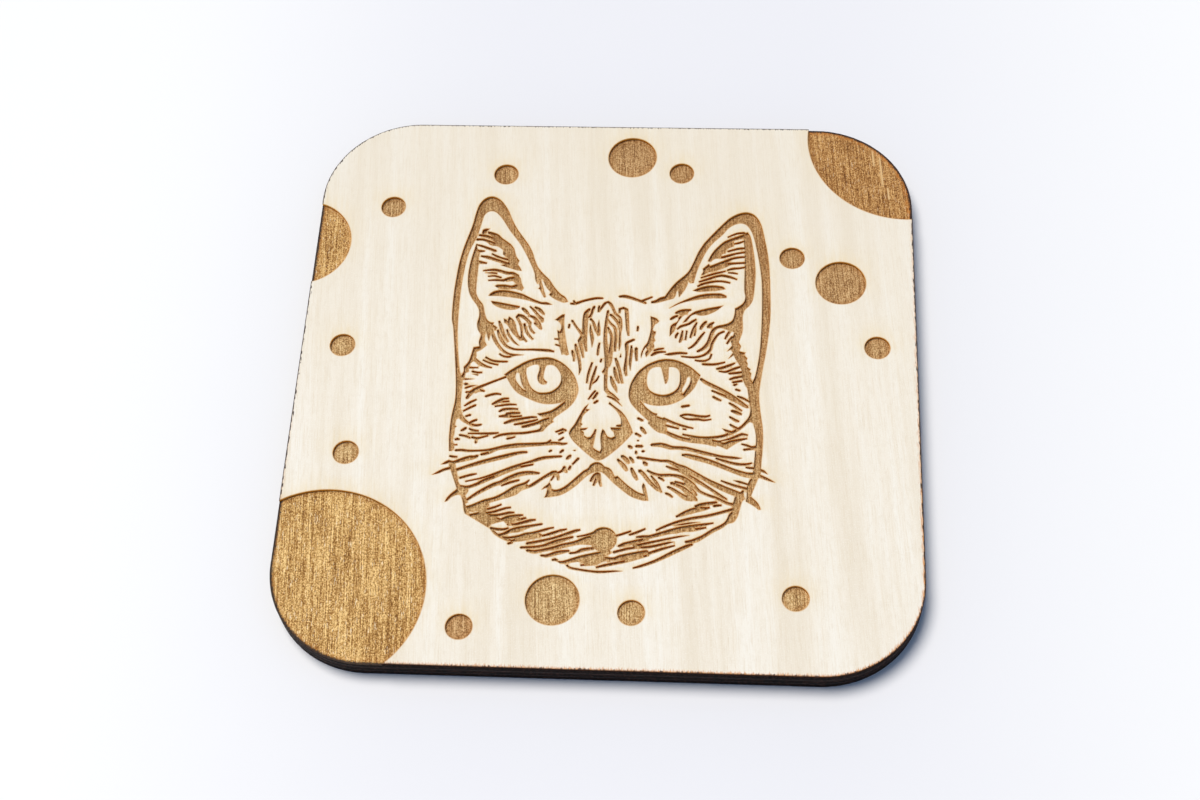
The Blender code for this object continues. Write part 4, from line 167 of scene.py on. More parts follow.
def cad_mesh(name):
    """The points of a CAD node in millimetres and its triangles, with points that coincide made one."""
    mesh = frame["nodes"][name].data
    mesh.calc_loop_triangles()
    points = np.empty(len(mesh.vertices) * 3)
    mesh.vertices.foreach_get("co", points)
    faces = np.empty(len(mesh.loop_triangles) * 3, int)
    mesh.loop_triangles.foreach_get("vertices", faces)
    points = points.reshape(-1, 3) / MM
    _, first, index = np.unique(np.round(points, 3), axis=0, return_index=True, return_inverse=True)
    return points[first], index.reshape(-1)[faces].reshape(-1, 3)


def border_loops(faces):
    """The closed borders of a set of triangles, as lists of point numbers."""
    edges = {(int(a), int(b)) for face in faces for a, b in zip(face, np.roll(face, -1))}
    follows = {a: b for a, b in edges if (b, a) not in edges}
    loops = []
    while follows:
        start, point = follows.popitem()
        loop = [start]
        while point != start:
            loop.append(point)
            point = follows.pop(point)
        loops.append(loop)
    return sorted(loops)


def inside_by(x, y):
    """How far a point of the plan lies inside the rounded square."""
    reach = HALF - CORNER_RADIUS
    over_x, over_y = abs(x) - reach, abs(y) - reach
    outside = math.hypot(max(over_x, 0), max(over_y, 0))
    return CORNER_RADIUS - outside - min(max(over_x, over_y), 0)


STRAIGHT = SIDE - 2 * CORNER_RADIUS
QUARTER = STRAIGHT + math.pi / 2 * CORNER_RADIUS
PERIMETER = 4 * QUARTER


def outline_at(distance):
    """The point of the rounded square at a distance along it.

    Distances run anticlockwise from the left of the front side.
    """
    quarters, along = divmod(distance % PERIMETER, QUARTER)
    if along < STRAIGHT:
        x, y = along - STRAIGHT / 2, -HALF
    else:
        angle = (along - STRAIGHT) / CORNER_RADIUS
        x = HALF - CORNER_RADIUS + CORNER_RADIUS * math.sin(angle)
        y = -HALF + CORNER_RADIUS - CORNER_RADIUS * math.cos(angle)
    for _ in range(int(quarters)):
        x, y = -y, x
    return x, y


def along_outline(x, y):
    """The distance along the rounded square of a point on it, and the way out of the plate there."""
    reach = STRAIGHT / 2
    for quarter in range(4):
        if y < -reach and -reach <= x <= reach:
            along, out_x, out_y = x + reach, 0.0, -1.0
            break
        if y < -reach and x > reach:
            angle = math.atan2(x - reach, -reach - y)
            along, out_x, out_y = STRAIGHT + CORNER_RADIUS * angle, math.sin(angle), -math.cos(angle)
            break
        x, y = y, -x
    for _ in range(quarter):
        out_x, out_y = -out_y, out_x
    return quarter * QUARTER + along, (out_x, out_y)


def rounded_run(points, closed):
    """A finer line through the points: a Catmull-Rom curve that keeps the sharp turns."""
    points = np.array(points)
    count = len(points)
    before, after = np.roll(points, 1, axis=0), np.roll(points, -1, axis=0)
    way_in, way_out = points - before, after - points
    cross = way_in[:, 0] * way_out[:, 1] - way_in[:, 1] * way_out[:, 0]
    turn = np.arctan2(cross, (way_in * way_out).sum(axis=1))
    sharp = abs(turn) > SHARP_TURN
    if not closed:
        sharp[0] = sharp[-1] = True
    length_in, length_out = np.hypot(*way_in.T), np.hypot(*way_out.T)
    unit_in, unit_out = way_in / length_in[:, None], way_out / length_out[:, None]
    share = (length_in / (length_in + length_out))[:, None]
    heading = unit_in * (1 - share) + unit_out * share
    line = []
    for i in range(count if closed else count - 1):
        j = (i + 1) % count
        length = length_out[i]
        start = (unit_out[i] if sharp[i] else heading[i]) * min(length, EASE * length_in[i])
        end = (unit_out[i] if sharp[j] else heading[j]) * min(length, EASE * length_out[j])
        for step in range(steps := max(1, round(length / RIM_STEP))):
            t = step / steps
            line.append(
                (2 * t**3 - 3 * t**2 + 1) * points[i]
                + (t**3 - 2 * t**2 + t) * start
                + (3 * t**2 - 2 * t**3) * points[j]
                + (t**3 - t**2) * end
            )
    return line if closed else [*line, points[-1]]


def rim_runs(points, loops):
    """The rims of the pockets: closed ones, and open ones that start and end on the plate's outline."""
    closed, opened = [], []
    for loop in loops:
        on_edge = [inside_by(*points[p][:2]) < LEVEL_SLACK for p in loop]
        if not any(on_edge):
            closed.append([points[p][:2] for p in loop])
            continue
        start = on_edge.index(True)
        run = []
        for k in range(start, start + len(loop) + 1):
            point = points[loop[k % len(loop)]][:2]
            run.append(point)
            if on_edge[k % len(loop)]:
                if len(run) > 2:
                    opened.append(run)
                run = [point]
    return closed, opened


def edge_stops(stops):
    """Distances along the outline, evenly spaced but for the given stops, which are all kept."""
    even = np.arange(0, PERIMETER, EDGE_STEP)
    gaps = abs(even[:, None] - np.array(stops)[None, :]).min(axis=1)
    return np.sort(np.append(even[gaps > EDGE_STEP / 3], stops))


def face_plan():
    """The new face seen from above.

    Its points, its triangles, the patch of each triangle, whether each patch is bare, and a search tree of
    the points along the rims.
    """
    points, faces = cad_mesh(FACE_NODE)
    top = [face for face in faces if points[face][:, 2].min() > TOP - LEVEL_SLACK]
    closed, opened = rim_runs(points, border_loops(top))
    rims = [(rounded_run(run, True), True) for run in closed]
    stops = []
    for run in opened:
        ends = [along_outline(*run[0])[0], along_outline(*run[-1])[0]]
        line = rounded_run(run, False)
        line[0], line[-1] = (np.array(outline_at(distance)) for distance in ends)
        stops += ends
        rims.append((line, False))
    outline = [np.array(outline_at(distance)) for distance in edge_stops(stops)]

    plan, edges = [], []
    for line, is_closed in [(outline, True), *rims]:
        start, count = len(plan), len(line)
        plan += line
        edges += [(start + i, start + (i + 1) % count) for i in range(count if is_closed else count - 1)]
    rim_points = plan[len(outline):]
    near_rim = KDTree(len(rim_points))
    for number, point in enumerate(rim_points):
        near_rim.insert((*point, 0), number)
    near_rim.balance()
    cad = BVHTree.FromPolygons([Vector(point) for point in points], faces.tolist())

    def is_bare(place):
        hit = cad.ray_cast(Vector((*place, 2 * TOP)), Vector((0, 0, -1)))[0]
        return hit is not None and hit.z > TOP - LEVEL_SLACK

    scatter = np.random.default_rng(SEED)
    for grid, nearest, farthest, wanted in (
        (COARSE_GRID, COARSE_CLEARANCE, SIDE, True),
        (RIM_GRID, RIM_CLEARANCE, RIM_ZONE, True),
        (FLOOR_GRID, RIM_CLEARANCE, SIDE, False),
    ):
        for y in np.arange(-HALF, HALF, grid[1]):
            for x in np.arange(-HALF, HALF, grid[0]):
                place = np.array((x, y)) + scatter.uniform(-SCATTER, SCATTER, 2) * grid
                if inside_by(*place) < EDGE_CLEARANCE:
                    continue
                if nearest < near_rim.find((*place, 0))[2] < farthest and is_bare(place) == wanted:
                    plan.append(place)

    flat = [Vector(place) for place in plan]
    found, lines, triangles, _, sources, _ = geometry.delaunay_2d_cdt(flat, edges, [], INSIDE_ONLY, MERGE)
    places = np.array([tuple(place) for place in found])
    triangles = np.array([tuple(triangle) for triangle in triangles])
    corners = places[triangles]
    doubled = np.cross(corners[:, 1] - corners[:, 0], corners[:, 2] - corners[:, 0])
    triangles[doubled < 0] = triangles[doubled < 0][:, ::-1]
    first_rim_edge = len(outline)
    rim_lines = {
        frozenset(line)
        for line, source in zip(lines, sources)
        if any(edge >= first_rim_edge for edge in source)
    }
    patch = patches_of(triangles, rim_lines)
    bare = []
    for number in range(patch.max() + 1):
        largest = np.flatnonzero(patch == number)
        largest = largest[np.argsort(-abs(doubled[largest]))[:VOTERS]]
        votes = [is_bare(corners[triangle].mean(axis=0)) for triangle in largest]
        bare.append(sum(votes) * 2 > len(votes))
    return places, triangles, patch, bare, near_rim


def sides_of(triangles):
    """The triangles' sides, going round each of them, and the number of the triangle that each belongs to."""
    sides = {}
    for number, (a, b, c) in enumerate(triangles.tolist()):
        sides.update({(a, b): number, (b, c): number, (c, a): number})
    return sides


def patches_of(triangles, rim_lines):
    """The number of the patch that each triangle lies in. Patches meet only along the rims."""
    beside = sides_of(triangles)
    patch = np.full(len(triangles), -1)
    count = 0
    for seed in range(len(triangles)):
        if patch[seed] >= 0:
            continue
        patch[seed] = count
        spreading = [seed]
        while spreading:
            a, b, c = triangles[spreading.pop()].tolist()
            for x, y in ((a, b), (b, c), (c, a)):
                other = beside.get((y, x))
                if other is not None and patch[other] < 0 and frozenset((x, y)) not in rim_lines:
                    patch[other] = count
                    spreading.append(other)
        count += 1
    return patch


def floor_dip(x, y):
    """How far the pocket floor lies below its mean level at a place, negative where it stands proud."""
    dip = 0.0
    leaned = x + y * math.tan(GRAIN_LEAN)
    for along, across, depth, row in (FURROW, SWELL):
        dip += depth * noise.noise(Vector((leaned / across, y / along, row)))
    return dip


def kerf_at(distance):
    """How far the laser's striations cut into the outline at a distance along it."""
    share = 0.5
    for length, row, weight in STRIATIONS:
        share += weight * noise.noise(Vector((distance / length, row, 0)))
    return KERF * share


class Solid:
    """A mesh in the making: points, faces, the finish of each face and named values at the points."""

    def __init__(self, name, finishes):
        self.name, self.finishes = name, finishes
        self.points, self.faces, self.finish = [], [], []
        self.values = {}

    def point(self, x, y, z, **values):
        self.points.append((x * MM, y * MM, z * MM))
        for name, value in values.items():
            self.values.setdefault(name, {})[len(self.points) - 1] = value
        return len(self.points) - 1

    def face(self, corners, finish):
        self.faces.append(corners)
        self.finish.append(self.finishes.index(finish))

    def made(self, crease):
        mesh = bpy.data.meshes.new(self.name)
        mesh.from_pydata(self.points, [], self.faces)
        for finish in self.finishes:
            mesh.materials.append(finish)
        mesh.polygons.foreach_set("material_index", self.finish)
        for name, values in self.values.items():
            attribute = mesh.attributes.new(name, "FLOAT", "POINT")
            filled = np.zeros(len(self.points), np.float32)
            filled[list(values)] = list(values.values())
            attribute.data.foreach_set("value", filled)
        mesh.shade_smooth()
        mesh.set_sharp_from_angle(angle=crease)
        piece = bpy.data.objects.new(self.name, mesh)
        bpy.context.collection.objects.link(piece)
        return piece


def smoke_over(x, y, near_rim):
    """How near a place is to a rim, and how much smoke has drifted over it from a pocket in front of it."""
    (_, rim_y, _), _, distance = near_rim.find((x, y, 0))
    drift = 0.5 + 0.5 * (y - rim_y) / max(distance, 0.01)
    return distance, drift * math.exp(-distance / SMOKE_REACH)


def engraved_face(bare_finish, floor_finish, wall_finish, edge_finish):
    """The face veneer as one closed mesh, with the engraved drawing cut into it."""
    places, triangles, patch, bare, near_rim = face_plan()
    solid = Solid("engraved_face", [bare_finish, floor_finish, wall_finish, edge_finish])
    on_bare, on_floor, arris, middle, base = {}, {}, {}, {}, {}
    beside = sides_of(triangles)
    border = [line for line in beside if line[::-1] not in beside]
    cut_open = {patch[beside[line]] for line in border}
    outward, cut = {}, {}
    for number, _ in border:
        distance, outward[number] = along_outline(*places[number])
        cut[number] = kerf_at(distance)

    def shifted(number, inset=0.0):
        x, y = places[number]
        if number not in cut:
            return x, y
        out_x, out_y = outward[number]
        return x - out_x * (cut[number] + inset), y - out_y * (cut[number] + inset)

    for number, triangle in enumerate(triangles.tolist()):
        is_bare = bare[patch[number]]
        made = on_bare if is_bare else on_floor
        for corner in triangle:
            if corner in made:
                continue
            x, y = places[corner]
            rim, smoke = smoke_over(x, y, near_rim)
            if is_bare:
                made[corner] = solid.point(*shifted(corner, ARRIS), TOP, rim=rim, smoke=smoke)
            else:
                opened = float(patch[number] in cut_open)
                height = FLOOR - floor_dip(x, y)
                made[corner] = solid.point(*shifted(corner), height, rim=rim, opened=opened)
        solid.face([made[corner] for corner in triangle], bare_finish if is_bare else floor_finish)

    for number in cut:
        base[number] = solid.point(*shifted(number), FACE_BASE)
        if number in on_bare:
            arris[number] = solid.point(*shifted(number), TOP - ARRIS)
            if number in on_floor:
                middle[number] = on_floor[number]
            else:
                middle[number] = solid.point(*shifted(number), FLOOR)
    for (a, b), number in beside.items():
        other = beside.get((b, a))
        if not bare[patch[number]] or other is None or bare[patch[other]]:
            continue
        side = [on_bare[a], arris.get(a), on_floor[a], on_floor[b], arris.get(b), on_bare[b]]
        solid.face([corner for corner in side if corner is not None], wall_finish)
    for a, b in border:
        if bare[patch[beside[a, b]]]:
            rows = (on_bare, arris, middle, base)
        else:
            rows = (on_floor, base)
        for upper, lower in zip(rows, rows[1:]):
            solid.face([upper[a], lower[a], lower[b], upper[b]], edge_finish)
    follows = dict(border)
    ring = [border[0][0]]
    while follows[ring[-1]] != ring[0]:
        ring.append(follows[ring[-1]])
    solid.face([base[number] for number in reversed(ring)], edge_finish)
    return solid.made(CREASE)


def ply(name, low, high, edge_finish, flat_finish, arris_low=0.0):
    """A plain veneer between two heights, with laser-cut edges and, if asked for, a broken lower arris."""
    solid = Solid(name, [edge_finish, flat_finish])
    distances = np.arange(0, PERIMETER, EDGE_STEP)
    rows = [(low, 0.0), (high, 0.0)]
    if arris_low:
        rows = [(low, arris_low), (low + arris_low, 0.0), (high, 0.0)]
    rings = []
    for z, inset in rows:
        ring = []
        for distance in distances:
            x, y = outline_at(distance)
            _, (out_x, out_y) = along_outline(x, y)
            away = kerf_at(distance + z * KERF_LEAN) + inset
            ring.append(solid.point(x - out_x * away, y - out_y * away, z))
        rings.append(ring)
    for lower, upper in zip(rings, rings[1:]):
        for i in range(len(distances)):
            j = (i + 1) % len(distances)
            solid.face([lower[i], lower[j], upper[j], upper[i]], edge_finish)
    solid.face(rings[-1], flat_finish)
    solid.face(rings[0][::-1], flat_finish)
    return solid.made(CREASE)


def tint(red, green, blue):
    """A colour given as on a screen, 0 to 255, as the shader takes it."""
    shares = [channel / 255 for channel in (red, green, blue)]
    return (*[c / 12.92 if c < 0.04045 else ((c + 0.055) / 1.055) ** 2.4 for c in shares], 1.0)


class Finish:
    """A procedural material in the making, over one Principled shader. Places in it are in millimetres."""

    def __init__(self, name, roughness, gloss=0.3, lean=GRAIN_LEAN):
        self.material = bpy.data.materials.new(name)
        self.material.use_nodes = True
        self.tree = self.material.node_tree
        self.shader = self.tree.nodes["Principled BSDF"]
        self.lean = lean
        self.shader.inputs["Roughness"].default_value = roughness
        self.shader.inputs["Specular IOR Level"].default_value = gloss
        place = self.node("ShaderNodeTexCoord").outputs["Object"]
        scaled = self.node("ShaderNodeVectorMath", {"operation": "SCALE"}, Vector=place, Scale=1 / MM)
        self.place = scaled.outputs[0]
        self.x, self.y, self.z = self.node("ShaderNodeSeparateXYZ", Vector=self.place).outputs

    def node(self, kind, settings=None, **inputs):
        node = self.tree.nodes.new(kind)
        for name, value in (settings or {}).items():
            setattr(node, name, value)
        for name, value in inputs.items():
            self.feed(node.inputs[name], value)
        return node

    def feed(self, socket, value):
        if isinstance(value, bpy.types.NodeSocket):
            self.tree.links.new(value, socket)
        else:
            socket.default_value = value

    def maths(self, operation, *values, clamp=False):
        node = self.node("ShaderNodeMath", {"operation": operation, "use_clamp": clamp})
        for socket, value in zip(node.inputs, values):
            self.feed(socket, value)
        return node.outputs[0]

    def noise(self, width, length, height=1.0, detail=2.0, offset=0.0, roughness=0.5, distortion=0.0):
        """Noise from 0 to 1 whose blotches have these sizes across the grain, along it and along Z."""
        spread = self.node(
            "ShaderNodeMapping",
            {"vector_type": "TEXTURE"},
            Vector=self.place,
            Location=(offset * width, offset * length, offset * height),
            Rotation=(0.0, 0.0, self.lean),
            Scale=(width, length, height),
        )
        return self.node(
            "ShaderNodeTexNoise",
            Vector=spread.outputs[0],
            Scale=1.0,
            Detail=detail,
            Roughness=roughness,
            Distortion=distortion,
        ).outputs[0]

    def step(self, value, start, end, low=0.0, high=1.0):
        """A smooth change from low to high as the value goes from start to end."""
        node = self.node("ShaderNodeMapRange", {"interpolation_type": "SMOOTHSTEP"})
        for socket, number in zip(node.inputs, (value, start, end, low, high)):
            self.feed(socket, number)
        return node.outputs[0]

    def ramp(self, value, *stops):
        node = self.node("ShaderNodeValToRGB", Fac=value)
        elements = node.color_ramp.elements
        while len(elements) < len(stops):
            elements.new(0.5)
        for element, (position, colour) in zip(elements, stops):
            element.position, element.color = position, colour
        return node.outputs[0]

    def blend(self, share, under, over, how="MIX"):
        node = self.node("ShaderNodeMix", {"data_type": "RGBA", "blend_type": how})
        for socket, value in zip((node.inputs[0], node.inputs[6], node.inputs[7]), (share, under, over)):
            self.feed(socket, value)
        return node.outputs[2]

    def value(self, name):
        """A value stored at the mesh's points."""
        return self.node("ShaderNodeAttribute", {"attribute_name": name}).outputs["Fac"]

    def inside_by(self):
        """How far a place lies inside the plate's outline."""
        reach = STRAIGHT / 2
        over = [self.maths("SUBTRACT", self.maths("ABSOLUTE", axis), reach) for axis in (self.x, self.y)]
        square = [self.maths("POWER", self.maths("MAXIMUM", each, 0.0), 2.0) for each in over]
        outside = self.maths("SQRT", self.maths("ADD", *square))
        within = self.maths("MINIMUM", self.maths("MAXIMUM", *over), 0.0)
        return self.maths("SUBTRACT", self.maths("SUBTRACT", CORNER_RADIUS, outside), within)

    def bump(self, height, depth):
        """Relief from a height of 0 to 1 that stands for this depth."""
        node = self.node("ShaderNodeBump", Strength=1.0, Distance=depth * MM, Height=height)
        self.feed(self.shader.inputs["Normal"], node.outputs[0])

    def done(self, colour, roughness=None):
        self.feed(self.shader.inputs["Base Color"], colour)
        if roughness is not None:
            self.feed(self.shader.inputs["Roughness"], roughness)
        return self.material


def bare_birch():
    """Sanded birch veneer: cream with faint long grain, smoked at the rims and toasted at the cut edge."""
    wood = Finish("bare_birch", 0.62)
    bands = wood.noise(3.4, 90.0, detail=4.0, offset=3.0, roughness=0.6)
    creams = (0.36, tint(232, 219, 197)), (0.5, tint(238, 227, 208)), (0.64, tint(242, 234, 219))
    colour = wood.ramp(bands, *creams)
    fine = wood.noise(0.2, 6.0, detail=3.0, offset=7.0, roughness=0.6)
    colour = wood.blend(wood.step(fine, 0.48, 0.68, 0.0, 0.4), colour, tint(224, 207, 178))
    flame = wood.noise(0.7, 1.6, detail=3.0, offset=12.0, roughness=0.65, distortion=0.6)
    colour = wood.blend(wood.step(flame, 0.45, 0.68, 0.0, 0.22), colour, tint(222, 207, 182))
    motes = wood.noise(0.16, 0.22, detail=2.0, offset=17.0)
    colour = wood.blend(wood.step(motes, 0.5, 0.72, 0.0, 0.3), colour, tint(253, 248, 240))
    vessels = wood.noise(0.09, 1.5, detail=1.0, offset=21.0)
    colour = wood.blend(wood.step(vessels, 0.66, 0.76, 0.0, 0.3), colour, tint(196, 168, 130))
    # Painted shade: the bare face is darkened and browned towards the back of the plate.
    colour = wood.blend(wood.step(wood.y, -0.2 * HALF, HALF, 0.0, 0.4), colour, tint(226, 212, 188))

    drifts = wood.noise(0.5, 3.5, detail=2.0, offset=31.0)
    smoke = wood.maths("MULTIPLY", wood.value("smoke"), wood.step(drifts, 0.25, 0.75, 0.2, 0.65))
    colour = wood.blend(smoke, colour, tint(232, 206, 150))
    scorch = wood.step(wood.value("rim"), 0.0, 0.2, 0.75, 0.0)
    colour = wood.blend(scorch, colour, tint(206, 154, 78))

    inside = wood.inside_by()
    licks = wood.noise(0.22, 1.6, detail=2.0, offset=41.0)
    reach = wood.step(licks, 0.4, 0.7, 0.45, 0.95)
    toast = wood.step(wood.maths("DIVIDE", inside, reach), 0.1, 1.0, 1.0, 0.0)
    sideways = wood.maths("SUBTRACT", wood.maths("MULTIPLY", wood.x, 0.5), wood.y)
    side = wood.maths("ADD", wood.maths("MULTIPLY", sideways, 0.6 / HALF), 0.35, clamp=True)
    colour = wood.blend(wood.maths("MULTIPLY", toast, side), colour, tint(208, 132, 44))
    ticks = wood.step(wood.noise(0.18, 1.2, detail=2.0, offset=47.0), 0.42, 0.7, 0.0, 0.24)
    charred = wood.step(wood.maths("SUBTRACT", inside, ticks), 0.1, 0.2, 0.95, 0.0)
    colour = wood.blend(charred, colour, tint(44, 24, 18))

    wood.bump(wood.maths("ADD", fine, wood.maths("MULTIPLY", vessels, -0.5)), 0.012)
    return wood.done(colour, wood.step(fine, 0.3, 0.8, 0.56, 0.7))


def engraved_birch():
    """The floor of the engraving: scorched grain in long furrows, crossed by the laser's passes."""
    wood = Finish("engraved_birch", 0.75)
    lines = wood.noise(0.14, 7.0, detail=2.0, offset=5.0, roughness=0.6)
    furrows = wood.noise(0.2, 1.1, detail=2.0, offset=9.0)
    bands = wood.noise(2.4, 6.0, detail=3.0, offset=15.0)
    crumble = wood.noise(0.15, 0.19, detail=2.0, offset=25.0, roughness=0.65)
    wavering = wood.maths("ADD", wood.y, wood.maths("MULTIPLY", crumble, 0.2))
    passes = wood.maths("SINE", wood.maths("MULTIPLY", wavering, math.tau / RASTER))
    parts = ((lines, 0.4), (furrows, 0.12), (crumble, 0.68), (passes, 0.02))
    height = 0.0
    for part, weight in parts:
        height = wood.maths("ADD", height, wood.maths("MULTIPLY", part, weight))
    tone = wood.maths("ADD", height, wood.maths("MULTIPLY", wood.maths("SUBTRACT", bands, 0.5), 0.12))
    browns = (0.48, tint(116, 78, 34)), (0.6, tint(194, 151, 92)), (0.72, tint(248, 217, 160))
    drawn = wood.ramp(tone, *browns)
    ambers = (0.49, tint(110, 66, 14)), (0.6, tint(194, 142, 70)), (0.71, tint(252, 214, 144))
    broad = wood.ramp(tone, *ambers)
    opened = wood.value("opened")
    colour = wood.blend(opened, drawn, broad)
    flecks = wood.noise(0.12, 1.2, detail=1.0, offset=35.0)
    strength = wood.maths("ADD", opened, 0.2)
    fleck = wood.maths("MULTIPLY", wood.step(flecks, 0.69, 0.72, 0.0, 0.9), strength, clamp=True)
    colour = wood.blend(fleck, colour, tint(250, 226, 184))
    leaned = wood.maths("ADD", wood.x, wood.maths("MULTIPLY", wood.y, math.tan(GRAIN_LEAN)))
    for place, low, high in PALE_FIBRES:
        aside = wood.maths("ABSOLUTE", wood.maths("SUBTRACT", leaned, place))
        middle = wood.maths("ABSOLUTE", wood.maths("SUBTRACT", wood.y, (low + high) / 2))
        end = wood.step(middle, (high - low) * 0.35, (high - low) / 2, 0.8, 0.0)
        fibre = wood.maths("MULTIPLY", wood.step(aside, 0.1, 0.2, 1.0, 0.0), end)
        colour = wood.blend(fibre, colour, tint(255, 226, 166))
    # Painted shade: the pocket floors are darkened towards the back and the right of the plate.
    backward = wood.maths("ADD", wood.y, wood.maths("MULTIPLY", wood.x, 0.5))
    away = wood.step(backward, -0.8 * HALF, 1.3 * HALF)
    colour = wood.blend(away, colour, tint(227, 212, 202), "MULTIPLY")
    pairs = zip((wood.x, wood.y), DARK_DOT)
    off_dot = [wood.maths("ABSOLUTE", wood.maths("SUBTRACT", axis, centre)) for axis, centre in pairs]
    burnt = wood.step(wood.maths("MAXIMUM", *off_dot), 2.2, 2.4, 1.0, 0.0)
    colour = wood.blend(burnt, colour, tint(240, 228, 221), "MULTIPLY")
    # Soot and painted shade: the floor darkens towards the foot of the walls, where shade falls in the
    # pockets.
    soot_and_shade = wood.step(wood.value("rim"), 0.0, 1.4, 0.32, 0.0)
    colour = wood.blend(soot_and_shade, colour, tint(142, 94, 38))
    inside = wood.inside_by()
    strength = wood.step(wood.x, -0.6 * HALF, 0.9 * HALF, 0.25, 0.75)
    licked = wood.maths("ADD", inside, wood.step(furrows, 0.3, 0.7, 0.0, 0.8))
    golden = wood.step(licked, 0.4, 1.6, strength, 0.0)
    colour = wood.blend(golden, colour, tint(196, 116, 34))
    ragged = wood.maths("SUBTRACT", inside, wood.step(crumble, 0.4, 0.65, 0.0, 0.3))
    colour = wood.blend(wood.step(ragged, 0.22, 0.36, 0.95, 0.0), colour, tint(26, 14, 14))
    wood.bump(height, 0.06)
    return wood.done(colour, wood.step(height, 0.2, 0.8, 0.85, 0.65))


def charred_wall_painted_light():
    """The walls of the engraving: scorched brown, with painted shade darkening the foot and a painted
    highlight turning the rim golden.
    """
    char = Finish("charred_wall_painted_light", 0.8, 0.1)
    streaks = char.noise(0.25, 0.25, 1.2, detail=2.0, offset=2.0)
    height = char.maths("ADD", char.z, char.maths("MULTIPLY", char.maths("SUBTRACT", streaks, 0.5), 0.2))
    share = char.maths("DIVIDE", char.maths("SUBTRACT", height, FLOOR), ENGRAVED)
    # Painted shade at the foot of the wall and painted light at its rim, over the brown of the char.
    char_with_painted_light = (0.0, tint(168, 94, 8)), (0.45, tint(224, 142, 30)), (1.0, tint(255, 204, 100))
    colour = char.ramp(share, *char_with_painted_light)
    char.bump(streaks, 0.03)
    return char.done(colour)


def cut_edge(name, grain_along_x):
    """A ply's edge, burnt nearly black by the cutting laser, with its fibres just showing."""
    char = Finish(name, 0.8, 0.04, 0.0)
    across, along = 0.16, 1.4
    size = (along, across) if grain_along_x else (across, along)
    fibres = char.noise(*size, 0.12, detail=3.0, offset=4.0, roughness=0.65)
    pits = char.noise(0.5, 0.5, 0.45, detail=3.0, offset=14.0, roughness=0.7)
    mixed = char.maths("ADD", char.maths("MULTIPLY", fibres, 0.45), char.maths("MULTIPLY", pits, 0.55))
    colour = char.ramp(mixed, (0.44, tint(2, 1, 2)), (0.52, tint(16, 9, 9)), (0.6, tint(74, 50, 40)))
    off_seam = char.maths("ABSOLUTE", char.maths("SUBTRACT", char.z, 0.6 * TOP))
    seam = char.step(off_seam, 0.1, 0.9, 0.5, 0.0)
    streaks = char.maths("MULTIPLY", seam, char.step(fibres, 0.4, 0.65))
    colour = char.blend(streaks, colour, tint(76, 54, 50))
    browned = char.step(char.z, TOP - 0.12, TOP, 0.0, 0.5)
    colour = char.blend(browned, colour, tint(90, 48, 24))
    char.bump(mixed, 0.12)
    return char.done(colour, char.step(fibres, 0.3, 0.8, 0.55, 0.8))


def back_birch():
    """The underside: plainer birch, browned around its border by the smoke of the cut."""
    wood = Finish("back_birch", 0.66)
    bands = wood.noise(7.0, 150.0, detail=3.0, offset=53.0)
    creams = (0.3, tint(222, 203, 172)), (0.55, tint(238, 223, 197)), (0.75, tint(230, 212, 184))
    colour = wood.ramp(bands, *creams)
    fine = wood.noise(0.3, 8.0, detail=3.0, offset=57.0)
    colour = wood.blend(wood.step(fine, 0.45, 0.78, 0.0, 0.4), colour, tint(204, 178, 140))
    vessels = wood.noise(0.1, 1.8, detail=1.0, offset=61.0)
    colour = wood.blend(wood.step(vessels, 0.7, 0.8, 0.0, 0.4), colour, tint(170, 134, 92))
    inside = wood.inside_by()
    drifts = wood.noise(2.5, 4.0, detail=3.0, offset=67.0)
    reach = wood.step(drifts, 0.3, 0.75, 0.8, 3.2)
    smoke = wood.step(wood.maths("DIVIDE", inside, reach), 0.0, 1.0, 0.75, 0.0)
    colour = wood.blend(smoke, colour, tint(170, 116, 62))
    colour = wood.blend(wood.step(inside, 0.05, 0.35, 0.9, 0.0), colour, tint(52, 34, 26))
    wood.bump(fine, 0.015)
    return wood.done(colour)


def burnt_glue():
    """The glue between the plies, charred where the edge was cut."""
    glue = Finish("burnt_glue", 0.45)
    beads = glue.noise(0.6, 0.6, 0.3, detail=2.0, offset=6.0)
    colour = glue.ramp(beads, (0.3, tint(18, 13, 12)), (0.7, tint(46, 34, 28)))
    glue.bump(beads, 0.03)
    return glue.done(colour)


def pale_table():
    """The white surface under the coaster, with painted shade: a broad darker band running front to back
    through the middle, lighter towards the sides and far away.
    """
    table = Finish("pale_table", 0.55)
    shade_clouds = table.noise(90.0, 90.0, detail=3.0, offset=1.0)
    spread = table.maths("ABSOLUTE", table.maths("SUBTRACT", table.x, 0.15 * HALF))
    spread = table.maths("ADD", spread, table.maths("MULTIPLY", shade_clouds, 0.2 * HALF))
    faraway = table.step(table.maths("ABSOLUTE", table.y), 3.0 * HALF, 9.0 * HALF)
    share = table.maths("ADD", table.step(spread, 0.5 * HALF, 2.2 * HALF), faraway, clamp=True)
    return table.done(table.ramp(share, (0.0, tint(233, 231, 232)), (1.0, tint(245, 243, 240))))


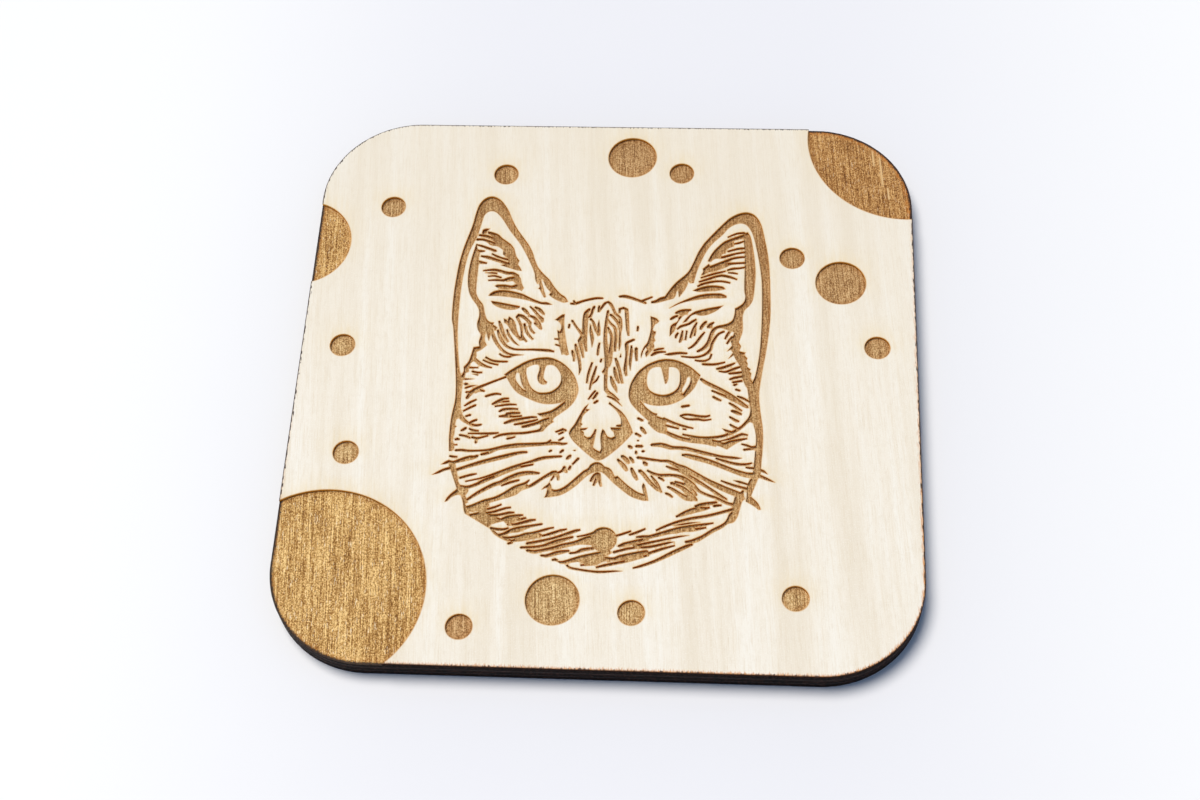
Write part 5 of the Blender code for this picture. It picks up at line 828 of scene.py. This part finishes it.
def studio():
    """The floor, the light and the camera."""
    mesh = bpy.data.meshes.new("table")
    reach = TABLE * MM
    corners = [(-reach, -reach, 0), (reach, -reach, 0), (reach, reach, 0), (-reach, reach, 0)]
    mesh.from_pydata(corners, [], [(0, 1, 2, 3)])
    mesh.materials.append(pale_table())
    table = bpy.data.objects.new("table", mesh)
    table.location.z = -TABLE_DROP * MM
    bpy.context.collection.objects.link(table)

    world = bpy.data.worlds.new("studio")
    world.use_nodes = True
    tree = world.node_tree
    direction = tree.nodes.new("ShaderNodeSeparateXYZ")
    tree.links.new(tree.nodes.new("ShaderNodeTexCoord").outputs["Generated"], direction.inputs[0])
    fade = tree.nodes.new("ShaderNodeMapRange")
    fade.interpolation_type = "SMOOTHSTEP"
    fade.inputs["From Min"].default_value = HORIZON_TOP
    fade.inputs["From Max"].default_value = HORIZON_FADED
    tree.links.new(direction.outputs["Z"], fade.inputs["Value"])
    sky = tree.nodes.new("ShaderNodeMix")
    sky.data_type = "RGBA"
    sky.inputs[6].default_value = (*HORIZON, 1.0)
    sky.inputs[7].default_value = (*ZENITH, 1.0)
    tree.links.new(fade.outputs[0], sky.inputs[0])
    tree.links.new(sky.outputs[2], tree.nodes["Background"].inputs["Color"])
    bpy.context.scene.world = world
    strength, spread, direction, colour = WINDOW
    light = bpy.data.lights.new("window", "SUN")
    light.energy, light.angle, light.color = strength, spread, colour
    lamp = bpy.data.objects.new("window", light)
    lamp.rotation_euler = Vector(direction).to_track_quat("Z", "Y").to_euler()
    bpy.context.collection.objects.link(lamp)

    camera = bpy.data.cameras.new("camera")
    camera.lens, camera.sensor_width = LENS, 36.0
    camera.clip_start, camera.clip_end = 0.01, 20.0
    eye = bpy.data.objects.new("camera", camera)
    azimuth, elevation = math.radians(CAMERA_AZIMUTH), math.radians(CAMERA_ELEVATION)
    level = math.cos(elevation)
    back = Vector((math.sin(azimuth) * level, -math.cos(azimuth) * level, math.sin(elevation)))
    turn = (-back).to_track_quat("-Z", "Y").to_matrix() @ Matrix.Rotation(math.radians(CAMERA_ROLL), 3, "Z")
    eye.matrix_world = Matrix.LocRotScale((Vector(CAMERA_TARGET) + back * CAMERA_DISTANCE) * MM, turn, None)
    bpy.context.collection.objects.link(eye)
    bpy.context.scene.camera = eye
    bpy.context.scene.view_settings.view_transform = "Standard"


def placed(piece, slot, *nodes):
    """Sets a finished piece on the frame, in place of its CAD nodes."""
    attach(piece, "root")
    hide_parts(*nodes)


studio()
face_edge = cut_edge("face_edge", False)
core_edge = cut_edge("core_edge", True)
placed(engraved_face(bare_birch(), engraved_birch(), charred_wall_painted_light(), face_edge), "face_veneer", FACE_NODE)
back_low, back_high = (corner.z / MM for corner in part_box(BACK_NODE))
core_low, core_high = (corner.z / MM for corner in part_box(CORE_NODE))
placed(ply("core_ply", core_low, core_high, core_edge, face_edge), "core_veneer", CORE_NODE)
placed(ply("back_ply", back_low, back_high, face_edge, back_birch(), ARRIS), "back_veneer", BACK_NODE)
glue = burnt_glue()
for name in GLUE_NODES:
    mesh = frame["nodes"][name].data
    mesh.materials.clear()
    mesh.materials.append(glue)
